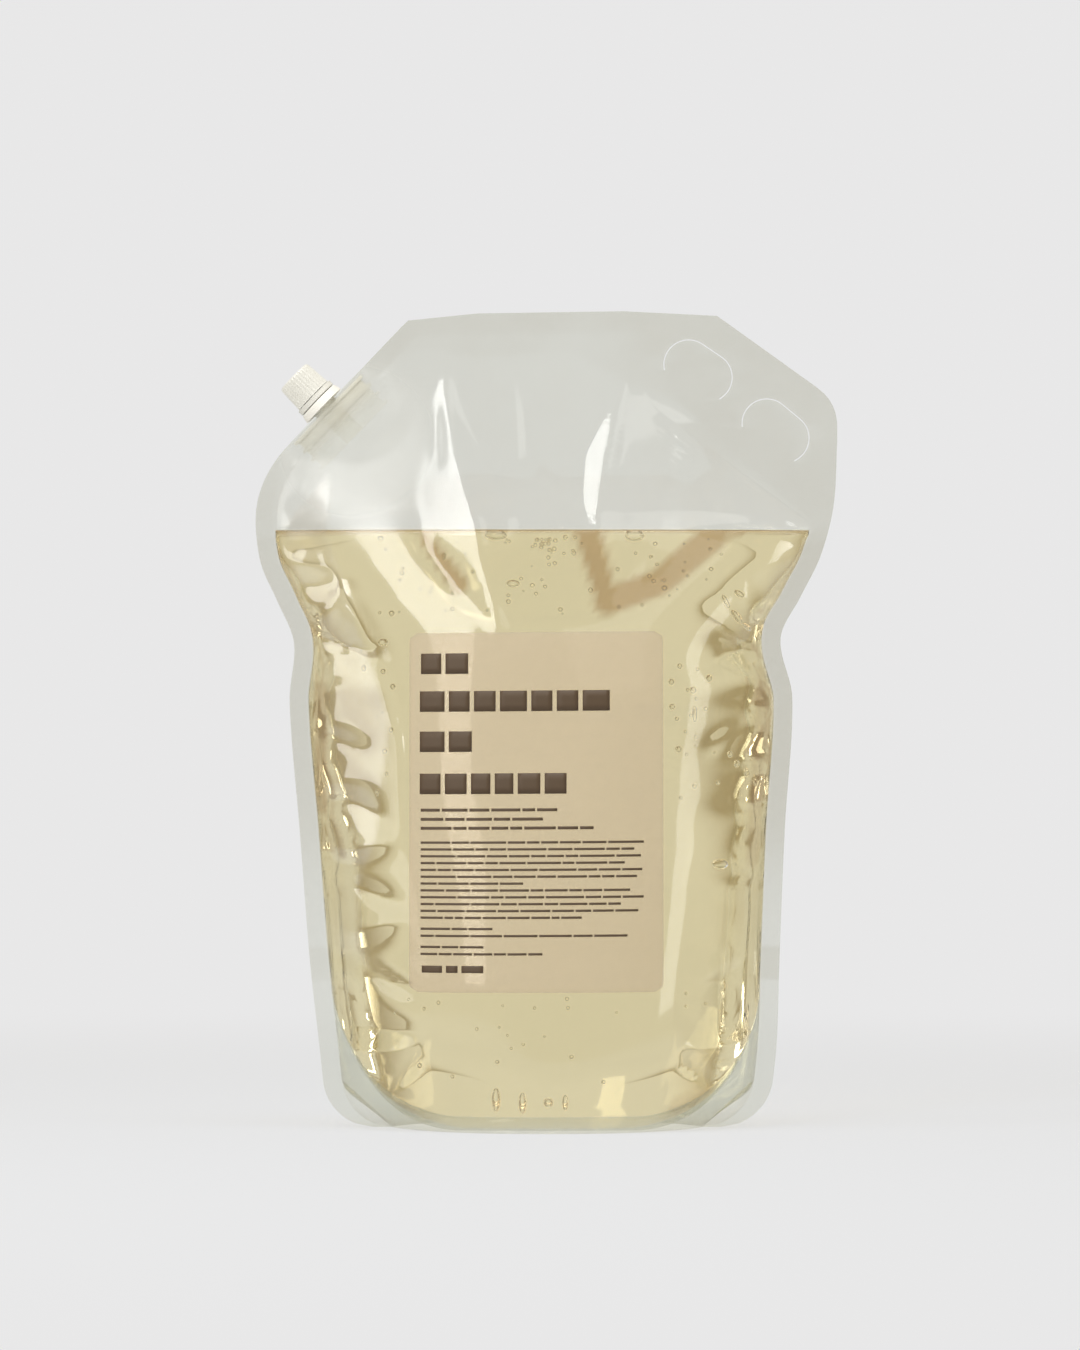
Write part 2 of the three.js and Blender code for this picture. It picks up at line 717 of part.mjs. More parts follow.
function roundedRectangle(left, right, bottom, top, radius) {
  const shape = new THREE.Shape();
  shape.absarc(right - radius, bottom + radius, radius, -Math.PI / 2, 0, false);
  shape.absarc(right - radius, top - radius, radius, 0, Math.PI / 2, false);
  shape.absarc(left + radius, top - radius, radius, Math.PI / 2, Math.PI, false);
  shape.absarc(left + radius, bottom + radius, radius, Math.PI, (3 * Math.PI) / 2, false);
  return shape;
}

// Materials

function material(color, roughness, opacity = 1) {
  return new THREE.MeshStandardMaterial({
    color,
    roughness,
    metalness: 0,
    opacity,
    transparent: opacity < 1,
  });
}

const clearFilm = material(0xdfe2dc, 0.12, 0.3);
const shampoo = material(0xd8cc96, 0.05, 0.6);
const labelFilm = material(0xd9cbb4, 0.45, 0.75);
const whitePlastic = material(0xecece2, 0.4);

function piece(name, geometry, finish) {
  const mesh = new THREE.Mesh(geometry, finish);
  mesh.name = name;
  return mesh;
}

// Assembly

const spoutGroup = new THREE.Group();
spoutGroup.position.copy(spoutOrigin);
spoutGroup.rotation.y = -spoutTilt;
spoutGroup.add(
  piece("spout", spoutGeometry(), whitePlastic),
  piece("tamper_band", tamperBandGeometry(), whitePlastic),
  piece("screw_cap", screwCapGeometry(), whitePlastic),
);

const refillPack = new THREE.Group();
const film = backFilm();
refillPack.add(
  piece("front_film", toGeometry(film.mirror([0, 1, 0])), clearFilm),
  piece("back_film", toGeometry(film), clearFilm),
  piece("bottom_gusset", gussetGeometry(), clearFilm),
  piece("shampoo_fill", fillGeometry(), shampoo),
  piece("label", labelGeometry(), labelFilm),
  spoutGroup,
);

const widest = (side) => Math.max(...filmRows.map((z) => outerEdge(side, z)));
refillPack.position.x = (widest("left") - widest("right")) / 2;

export default refillPack;
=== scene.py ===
"""Clear two-litre refill pack of shampoo with a corner spout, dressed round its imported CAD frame."""

import logging
import math
from dataclasses import dataclass, field
from enum import Enum

import bmesh
import bpy
import numpy as np
from mathutils import Euler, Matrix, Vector


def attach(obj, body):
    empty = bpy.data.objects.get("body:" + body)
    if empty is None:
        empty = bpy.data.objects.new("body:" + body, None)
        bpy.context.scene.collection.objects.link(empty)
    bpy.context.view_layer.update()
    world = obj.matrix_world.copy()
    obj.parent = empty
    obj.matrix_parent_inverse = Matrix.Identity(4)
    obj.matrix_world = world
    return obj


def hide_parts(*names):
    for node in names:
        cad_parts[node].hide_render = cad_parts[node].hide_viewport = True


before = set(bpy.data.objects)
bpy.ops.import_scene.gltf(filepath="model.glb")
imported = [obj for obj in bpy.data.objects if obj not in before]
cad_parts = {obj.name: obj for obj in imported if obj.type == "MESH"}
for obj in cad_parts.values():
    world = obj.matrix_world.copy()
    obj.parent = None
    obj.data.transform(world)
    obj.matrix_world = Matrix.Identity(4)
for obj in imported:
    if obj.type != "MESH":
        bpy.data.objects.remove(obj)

LOG = logging.getLogger("refill_pack")
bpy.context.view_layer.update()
MM = 0.001

Table = tuple[tuple[float, ...], ...]


class Side(Enum):
    """Side of the pack as seen from its front."""

    LEFT = -1
    RIGHT = 1


class Face(Enum):
    """Front or back web of the pack; the value is the sign of its Y."""

    FRONT = -1
    BACK = 1


# Shape helpers


def smoothstep(value: np.ndarray, low: float, high: float) -> np.ndarray:
    """Rise smoothly from 0 at low to 1 at high.

    Args:
        value: Numbers to map.
        low: Value that gives 0.
        high: Value that gives 1.

    Returns:
        The mapped numbers.
    """
    t = np.clip((np.asarray(value, float) - low) / (high - low), 0.0, 1.0)
    return t * t * (3.0 - 2.0 * t)


def stations(table: Table, column: int, share: np.ndarray) -> np.ndarray:
    """Read a smooth curve through a table of stations.

    Args:
        table: Rows that start with their share of the fill height.
        column: Column to read.
        share: Shares at which to read it.

    Returns:
        The value at each share.
    """
    rows = np.array(table)
    s = rows[:, 0]
    v = rows[:, column]
    share = np.asarray(share, float)
    i = np.clip(np.searchsorted(s, share, side="left") - 1, 0, len(s) - 2)
    before = np.maximum(i - 1, 0)
    after = np.minimum(i + 2, len(s) - 1)
    span = s[i + 1] - s[i]
    t = np.clip((share - s[i]) / span, 0.0, 1.0)
    slope_a = (v[i + 1] - v[before]) / (s[i + 1] - s[before])
    slope_b = (v[after] - v[i]) / (s[after] - s[i])
    t2 = t * t
    t3 = t2 * t
    return (
        (2 * t3 - 3 * t2 + 1) * v[i]
        + (t3 - 2 * t2 + t) * span * slope_a
        + (3 * t2 - 2 * t3) * v[i + 1]
        + (t3 - t2) * span * slope_b
    )


def rounded_path(corners: tuple[tuple[float, float, float], ...]) -> np.ndarray:
    """Sample a polyline whose corners are rounded by quadratic curves.

    Args:
        corners: Points as x, z and corner radius, in order of height.

    Returns:
        Points of the path, as an array of x and z.
    """
    points = [np.array(c[:2]) for c in corners]
    path = [points[0]]
    for i in range(1, len(points) - 1):
        back = points[i - 1] - points[i]
        ahead = points[i + 1] - points[i]
        len_back, len_ahead = np.linalg.norm(back), np.linalg.norm(ahead)
        turn = math.pi - math.acos(float(back @ ahead) / (len_back * len_ahead))
        reach = min(corners[i][2] * math.tan(turn / 2), 0.49 * len_back, 0.49 * len_ahead)
        start = points[i] + back / len_back * reach
        end = points[i] + ahead / len_ahead * reach
        for t in np.linspace(0.0, 1.0, 24):
            path.append((1 - t) ** 2 * start + 2 * t * (1 - t) * points[i] + t * t * end)
    path.append(points[-1])
    return np.array(path)


@dataclass(frozen=True)
class PackForm:
    """The filled pack's shape in millimetres, as the CAD frame has it."""

    width: float = 218.0
    height: float = 304.6
    top_rise: float = 2.4
    seal: float = 7.0
    film: float = 0.25
    gap: float = 0.3
    base_corner: float = 17.0
    spout_corner: tuple[float, float, float, float] = (59.5, 61.5, 12.0, 46.0)
    handle_corner: tuple[float, float, float, float] = (48.0, 35.0, 16.0, 18.0)
    handle_weld: tuple[float, float, float, float, float] = (73.0, 82.0, 26.0, 64.0, 34.0)
    headspace: float = 82.6
    draw_in: Table = (
        (0.0, 27.5, 26.5),
        (0.13, 24.5, 22.8),
        (0.28, 20.8, 21.6),
        (0.5, 17.0, 19.6),
        (0.72, 13.2, 16.8),
        (0.82, 14.8, 21.2),
        (0.89, 8.6, 13.6),
        (0.955, 2.4, 6.4),
        (1.04, 0.2, 1.4),
        (1.15, 0.0, 0.0),
    )
    half_depth: Table = (
        (0.0, 47.0),
        (0.12, 48.5),
        (0.3, 46.5),
        (0.5, 41.0),
        (0.7, 35.0),
        (0.82, 31.0),
        (0.9, 25.0),
        (1.0, 16.5),
        (1.1, 12.0),
        (1.2, 9.5),
    )
    crown_power: float = 2.4
    headspace_power: float = 1.8
    crown_edge: float = 0.78
    skirt: float = 6.0
    gusset_rise: float = 53.0
    gusset_corner: float = 43.0
    gusset_flat: float = 1.25
    spout_from_top: float = 47.6
    boat_length: float = 36.0
    boat_thickness: float = 10.5
    boat_depth: float = 14.5
    boat_swell: float = 0.9

    @property
    def fill(self) -> float:
        """Height of the liquid's surface."""
        return self.height - self.headspace

    @property
    def half(self) -> float:
        """Half of the flat width."""
        return self.width / 2

    def flat_edge(self, side: Side, z: np.ndarray) -> np.ndarray:
        """Half width of the flat pack on one side at each height.

        Args:
            side: Which side.
            z: Heights.

        Returns:
            The half width at each height.
        """
        across, down, top, low = self.spout_corner if side is Side.LEFT else self.handle_corner
        path = rounded_path(
            (
                (self.half, 0.0, 0.0),
                (self.half, self.height - down, low),
                (self.half - across, self.height, top),
                (self.half - across - 2 * top, self.height, 0.0),
            )
        )
        return np.interp(z, path[:, 1], path[:, 0])

    def outer_edge(self, side: Side, z: np.ndarray) -> np.ndarray:
        """Distance of the film's edge from the middle.

        Args:
            side: Which side.
            z: Heights.

        Returns:
            The distance at each height.
        """
        column = 1 if side is Side.LEFT else 2
        edge = self.flat_edge(side, z) - stations(self.draw_in, column, z / self.fill)
        low = np.clip(self.base_corner - np.asarray(z, float), 0.0, self.base_corner)
        return edge - self.base_corner + np.sqrt(self.base_corner**2 - low**2)

    def inner_edge(self, side: Side, z: np.ndarray) -> np.ndarray:
        """Distance of the cavity's edge from the middle.

        Args:
            side: Which side.
            z: Heights.

        Returns:
            The distance at each height.
        """
        slope = (self.outer_edge(side, z + 1.0) - self.outer_edge(side, z - 1.0)) / 2.0
        steep = np.where(z < self.base_corner, 1.0, np.hypot(1.0, slope))
        edge = self.outer_edge(side, z) - self.seal * np.minimum(steep, 2.5)
        if side is Side.LEFT:
            return edge
        across, down, radius, bend_across, bend_down = self.handle_weld
        weld = rounded_path(
            (
                (self.half, self.height - down, 0.0),
                (self.half - bend_across, self.height - bend_down, radius),
                (self.half - across, self.height, 0.0),
            )
        )
        return np.minimum(edge, np.interp(z, weld[:, 1], weld[:, 0]) - self.seal)

    @property
    def shift(self) -> float:
        """Sideways shift that centres the pack on its outline's box."""
        z = np.linspace(0.0, self.height, 400)
        return (self.outer_edge(Side.LEFT, z).max() - self.outer_edge(Side.RIGHT, z).max()) / 2

    def lean(self, x: np.ndarray, z: np.ndarray) -> np.ndarray:
        """Height of a point once the top edge leans up towards the handle."""
        return z * (1.0 + self.top_rise / self.height * x / (self.width - self.spout_corner[0]))

    @property
    def spout_tilt(self) -> float:
        """Angle of the spout's axis from upright, towards the left."""
        return math.atan2(self.spout_corner[1], self.spout_corner[0])

    @property
    def spout_origin(self) -> np.ndarray:
        """Middle of the spout where its axis crosses the film's edge, before the shift.

        Returns:
            The point as x, y and z.
        """
        x = -(self.half - self.spout_corner[0]) - self.spout_from_top * math.cos(self.spout_tilt)
        z = self.height - self.spout_from_top * math.sin(self.spout_tilt)
        return np.array([x, 0.0, float(self.lean(x, z))])

    def wall(self, share: np.ndarray, x: np.ndarray, z: np.ndarray) -> np.ndarray:
        """Distance of the films' inner face from the middle plane.

        Args:
            share: Place across the cavity, from -1 at the left seal to 1 at the right one.
            x: The same place in millimetres.
            z: Height in millimetres.

        Returns:
            Half of the pack's inner depth there.
        """
        plies = self.gap / 2 + (1.0 - smoothstep(z, self.gusset_rise + 2, self.gusset_rise + 14)) * (
            self.gap + self.film
        )
        flatter = self.headspace_power * smoothstep(z, self.fill - 6.0, self.fill + 22.0)
        inside = np.clip(1.0 - np.abs(share) ** (self.crown_power + flatter), 0.0, 1.0)
        closing = smoothstep(self.height - self.seal - z, 0.0, 1.4 * self.headspace)
        depth = stations(self.half_depth, 1, z / self.fill) * np.minimum(1.0, 1.6 * closing)
        return plies + np.maximum(depth * inside**self.crown_edge, self.boat_bulge(x, z))

    def spout_frame(self, x: np.ndarray, z: np.ndarray) -> tuple[np.ndarray, np.ndarray]:
        """Place of a point along the corner cut, and how far in from it.

        Args:
            x: Places across.
            z: Heights.

        Returns:
            The distances along the cut and in from it.
        """
        origin = self.spout_origin
        dx, dz = x - origin[0], z - origin[2]
        along = dx * math.cos(self.spout_tilt) + dz * math.sin(self.spout_tilt)
        inwards = dx * math.sin(self.spout_tilt) - dz * math.cos(self.spout_tilt)
        return along, inwards

    def boat_bulge(self, x: np.ndarray, z: np.ndarray) -> np.ndarray:
        """Half of the opening that the spout's boat props between the films.

        Args:
            x: Places across.
            z: Heights.

        Returns:
            Half of the opening at each place.
        """
        along, inwards = self.spout_frame(x, z)
        lens = np.clip(1.0 - (along / (0.5 * self.boat_length + 2.0)) ** 2, 0.0, 1.0)
        wide = np.clip(1.0 - (along / (0.75 * self.boat_length)) ** 2, 0.0, 1.0)
        past = smoothstep(inwards, self.boat_depth - 2, self.boat_depth + 8)
        section = (1 - past) * lens + past * wide
        fall = 1.0 - smoothstep(inwards, self.boat_depth + 3, 4.0 * self.boat_depth)
        return (self.boat_thickness / 2 + self.boat_swell) * section * fall * (inwards > -4.0)

    def weld_height(self, share: np.ndarray) -> np.ndarray:
        """Height of the curved weld that joins the gusset to the front and back.

        Args:
            share: Shares of the cavity, from -1 at the left seal to 1 at the right one.

        Returns:
            The height at each share.
        """
        z = np.full_like(share, self.gusset_rise)
        left, right = -self.inner_edge(Side.LEFT, z), self.inner_edge(Side.RIGHT, z)
        x = left + (right - left) * (share + 1) / 2
        reach = np.where(share < 0, -left, right)
        past = np.clip(np.abs(x) - (reach - self.gusset_corner), 0.0, self.gusset_corner)
        rise = 1.0 - np.sqrt(1.0 - (past / self.gusset_corner) ** 2)
        return self.skirt + (self.gusset_rise - self.skirt) * rise

    def sag(self, share: np.ndarray, across: np.ndarray) -> np.ndarray:
        """How far the gusset hangs below its weld; across is 1 at the front weld, 0 in the middle."""
        flat = np.clip(self.gusset_flat * (1.0 - share**4), 0.0, 1.0)
        return self.skirt * flat * np.clip(self.gusset_flat * (1.0 - np.abs(across) ** 3), 0.0, 1.0)


FORM = PackForm()


# Relief of the films, in millimetres, at places in the row frame


@dataclass(frozen=True)
class Facet:
    """A fold whose flank tilts evenly to the left and then falls back.

    Attributes:
        spine: Points of the flank's middle, as x, z and half width.
        slope: Rise of the flank towards the right, as a ratio.
    """

    spine: tuple[tuple[float, float, float], ...]
    slope: float

    def height(self, x: np.ndarray, z: np.ndarray) -> np.ndarray:
        """Height of the fold at each place.

        Args:
            x: Places across.
            z: Heights.

        Returns:
            The outward height.
        """
        line = np.array(self.spine)[np.argsort([point[1] for point in self.spine])]
        middle = np.interp(z, line[:, 1], line[:, 0])
        half = np.interp(z, line[:, 1], line[:, 2], left=line[0, 2], right=line[-1, 2])
        u = (x - middle) / np.maximum(half, 0.4)
        flank = np.clip(u + 1.0, 0.0, 2.0)
        fall = 1.0 - smoothstep(u, 0.85, 2.4)
        ends = smoothstep(z, line[0, 1] - 6, line[0, 1] + 4)
        ends = ends * (1.0 - smoothstep(z, line[-1, 1] - 2, line[-1, 1] + 5))
        return self.slope * half * flank * fall * ends


@dataclass(frozen=True)
class Crease:
    """A narrow ridge, or a furrow where the height is below 0, from one point to another."""

    start: tuple[float, float]
    end: tuple[float, float]
    width: float
    height: float

    def relief(self, x: np.ndarray, z: np.ndarray) -> np.ndarray:
        """Height of the crease at each place.

        Args:
            x: Places across.
            z: Heights.

        Returns:
            The outward height.
        """
        a, b = np.array(self.start), np.array(self.end)
        run = b - a
        t = ((x - a[0]) * run[0] + (z - a[1]) * run[1]) / float(run @ run)
        held = np.clip(t, 0.0, 1.0)
        away = np.hypot(x - a[0] - held * run[0], z - a[1] - held * run[1])
        fade = 0.25 + 0.75 * np.sin(np.pi * np.clip(held, 0.02, 0.98)) ** 0.6
        return self.height * fade / (1.0 + (away / self.width) ** 2) ** 1.5


@dataclass(frozen=True)
class Pillow:
    """Gathers that run in from a side seal and fade out inside the pack."""

    side: Side
    low: float
    high: float
    pitch: float
    depth: float
    reach: float
    phase: float

    def relief(self, inset: np.ndarray, z: np.ndarray) -> np.ndarray:
        """Height of the gathers at a distance in from the seal and a height.

        Args:
            inset: Distances in from the side seal.
            z: Heights.

        Returns:
            The outward height.
        """
        wave = np.sin(2 * np.pi * z / self.pitch + self.phase + 0.35 * np.sin(z / 7.3 + self.phase))
        band = smoothstep(z, self.low, self.low + 12) * (1 - smoothstep(z, self.high - 12, self.high))
        near = (inset / 6.0) * np.exp(1.0 - inset / 6.0) * 0.4 + np.exp(-((inset / self.reach) ** 2)) * 0.6
        return self.depth * wave * band * near


@dataclass(frozen=True)
class Relief:
    """All folds of one film."""

    facets: tuple[Facet, ...] = ()
    creases: tuple[Crease, ...] = ()
    pillows: tuple[Pillow, ...] = ()
    ripple: float = 0.35
    seed: float = 0.0

    def at(self, x: np.ndarray, z: np.ndarray, insets: dict[Side, np.ndarray]) -> np.ndarray:
        """Height of the folds at places in the row frame.

        Args:
            x: Places across.
            z: Heights.
            insets: Distance in from each side's seal.

        Returns:
            Outward height in millimetres.
        """
        total = np.zeros_like(x)
        for facet in self.facets:
            total = total + facet.height(x, z)
        for crease in self.creases:
            total = total + crease.relief(x, z)
        for pillow in self.pillows:
            total = total + pillow.relief(np.maximum(insets[pillow.side], 0.0), z)
        swell = np.sin(x / 19.0 + 1.3 * self.seed) * np.cos(z / 27.0 + self.seed)
        swell = swell + 0.6 * np.sin(x / 11.0 - z / 16.0 + 2.1 * self.seed)
        edge = np.minimum(insets[Side.LEFT], insets[Side.RIGHT])
        return (total + self.ripple * swell) * smoothstep(edge, 0.5, 9.0)


RELIEFS = {
    Face.FRONT: Relief(
        facets=(
            Facet(
                (
                    (-38.5, 283.0, 0.8),
                    (-40.0, 268.0, 3.6),
                    (-39.5, 252.0, 6.0),
                    (-38.5, 238.0, 9.5),
                    (-35.5, 226.0, 10.5),
                    (-32.0, 212.0, 8.5),
                    (-24.0, 196.0, 5.0),
                    (-19.0, 186.0, 2.0),
                ),
                0.2,
            ),
            Facet(
                (
                    (29.5, 277.0, 0.8),
                    (23.5, 264.0, 3.0),
                    (19.0, 251.0, 4.4),
                    (17.6, 238.0, 3.6),
                    (17.6, 222.0, 2.6),
                ),
                0.25,
            ),
            Facet(((60.0, 277.0, 0.6), (55.5, 268.0, 2.4), (48.0, 257.0, 2.0), (45.0, 249.0, 0.6)), 0.42),
            Facet(((-14.0, 286.0, 0.6), (-13.0, 268.0, 1.6), (-12.0, 250.0, 1.4), (-12.0, 236.0, 0.6)), 0.11),
            Facet(
                (
                    (-84.0, 214.0, 2.0),
                    (-69.0, 182.0, 3.0),
                    (-58.0, 145.0, 3.0),
                    (-56.5, 112.0, 2.0),
                ),
                0.12,
            ),
        ),
        creases=(
            Crease((-85.0, 183.5), (-62.0, 176.0), 3.0, -2.2),
            Crease((-86.0, 182.0), (-76.0, 205.0), 3.0, 1.4),
            Crease((77.5, 183.0), (61.5, 171.5), 2.4, -2.0),
            Crease((80.0, 182.0), (74.0, 200.0), 3.0, 1.5),
            Crease((70.0, 177.0), (64.0, 183.0), 1.8, -1.1),
            Crease((-73.0, 124.0), (-60.0, 114.0), 4.0, -1.8),
            Crease((-74.0, 104.0), (-58.0, 108.0), 3.4, 1.5),
            Crease((-72.0, 92.0), (-56.0, 84.0), 4.0, -1.9),
            Crease((-70.0, 74.0), (-55.0, 79.0), 3.6, 1.6),
            Crease((-66.0, 60.0), (-50.0, 52.0), 4.2, -1.6),
            Crease((-84.0, 150.0), (-70.0, 142.0), 3.4, -1.4),
            Crease((72.0, 150.0), (60.0, 141.0), 3.4, -1.2),
            Crease((73.0, 60.0), (58.0, 52.0), 3.8, -1.4),
            Crease((-41.5, 268.0), (-41.0, 248.0), 1.8, -1.2),
            Crease((36.0, 216.0), (26.0, 199.0), 2.4, 0.9),
            Crease((-48.0, 219.0), (-33.0, 203.0), 2.4, -0.9),
            Crease((-73.0, 28.0), (-47.0, 31.0), 3.0, 2.4),
            Crease((-47.0, 31.0), (-60.0, 11.0), 3.0, -2.6),
            Crease((-70.0, 40.0), (-52.0, 36.0), 3.4, -1.8),
            Crease((50.0, 29.0), (67.0, 10.0), 3.0, -2.6),
            Crease((50.0, 29.0), (75.0, 33.0), 3.0, 2.2),
            Crease((58.0, 20.0), (70.0, 26.0), 4.0, 2.2),
        ),
        pillows=(
            Pillow(Side.LEFT, 90.0, 215.0, 21.0, 0.9, 16.0, 0.4),
            Pillow(Side.RIGHT, 80.0, 235.0, 21.0, 0.65, 18.0, 2.0),
            Pillow(Side.LEFT, 190.0, 262.0, 15.0, 0.7, 14.0, 1.1),
        ),
        ripple=0.3,
        seed=0.7,
    ),
    Face.BACK: Relief(
        facets=(
            Facet(((-12.0, 262.0, 1.0), (-6.0, 240.0, 5.0), (2.0, 215.0, 3.0)), 0.12),
            Facet(((52.0, 250.0, 1.0), (48.0, 232.0, 5.0), (44.0, 205.0, 3.0)), -0.12),
        ),
        creases=(
            Crease((-84.0, 186.0), (-58.0, 170.0), 3.0, -2.0),
            Crease((78.0, 181.0), (58.0, 190.0), 3.0, -1.8),
            Crease((-47.0, 222.0), (-31.0, 200.0), 4.0, -1.6),
            Crease((15.0, 224.0), (24.0, 194.0), 5.0, -2.0),
            Crease((25.0, 194.0), (62.0, 220.0), 6.0, -2.2),
        ),
        pillows=(
            Pillow(Side.LEFT, 80.0, 225.0, 23.0, 0.8, 16.0, 1.7),
            Pillow(Side.RIGHT, 80.0, 235.0, 18.0, 0.8, 18.0, 0.2),
        ),
        ripple=0.3,
        seed=2.9,
    ),
}


# Meshes of mapped blocks


def block_mesh(name: str, points: np.ndarray, values: dict[str, np.ndarray] | None = None) -> bpy.types.Object:
    """Build the closed skin of a block of cells.

    Args:
        name: Name of the piece.
        points: Corners of the cells in millimetres, as an array of i, j, k and 3.
        values: Numbers to store on the corners, each an array of i, j and k.

    Returns:
        The new object, in metres, shaded smooth.
    """
    ni, nj, nk = (n - 1 for n in points.shape[:3])
    grid = np.arange(points[..., 0].size).reshape(points.shape[:3])
    faces = []

    def add(face: np.ndarray) -> None:
        """Collect the cells of one side of the block."""
        quads = np.stack([face[:-1, :-1], face[1:, :-1], face[1:, 1:], face[:-1, 1:]], axis=-1)
        faces.append(quads.reshape(-1, 4))

    add(grid[:, 0, :])
    add(grid[:, nj, :][:, ::-1])
    add(grid[0, :, :].T)
    add(grid[ni, :, :])
    add(grid[:, :, 0].T)
    add(grid[:, :, nk])
    quads = np.concatenate(faces)
    used, index = np.unique(quads, return_inverse=True)
    corners = points.reshape(-1, 3)[used] * MM
    mesh = bpy.data.meshes.new(name)
    mesh.from_pydata(corners.tolist(), [], index.reshape(-1, 4).tolist())
    for key, array in (values or {}).items():
        layer = mesh.attributes.new(key, "FLOAT", "POINT")
        layer.data.foreach_set("value", array.reshape(-1)[used].astype(np.float32))
    skin = bmesh.new()
    skin.from_mesh(mesh)
    bmesh.ops.remove_doubles(skin, verts=skin.verts, dist=2e-6)
    bmesh.ops.recalc_face_normals(skin, faces=skin.faces)
    skin.to_mesh(mesh)
    skin.free()
    mesh.polygons.foreach_set("use_smooth", [True] * len(mesh.polygons))
    piece = bpy.data.objects.new(name, mesh)
    bpy.context.scene.collection.objects.link(piece)
    LOG.info("%s: %d faces", name, len(mesh.polygons))
    return piece


# Painted sheen: along the left seal the film gets more of its mirroring coat, painted in where the side lamp's
# reflection lies on the flank. It ends at a fold, given as x and z up to its tip. Above the liquid its other
# edge falls from the tip at a slant.
PAINTED_SHEEN_FOLD = (
    (-66.0, 60.0),
    (-70.0, 90.0),
    (-63.0, 110.0),
    (-61.0, 130.0),
    (-58.0, 153.0),
    (-66.0, 175.5),
    (-82.0, 223.0),
    (-80.6, 246.5),
)
PAINTED_SHEEN_SLANT = 0.85
PAINTED_SHEEN_RIGHT = 0.7


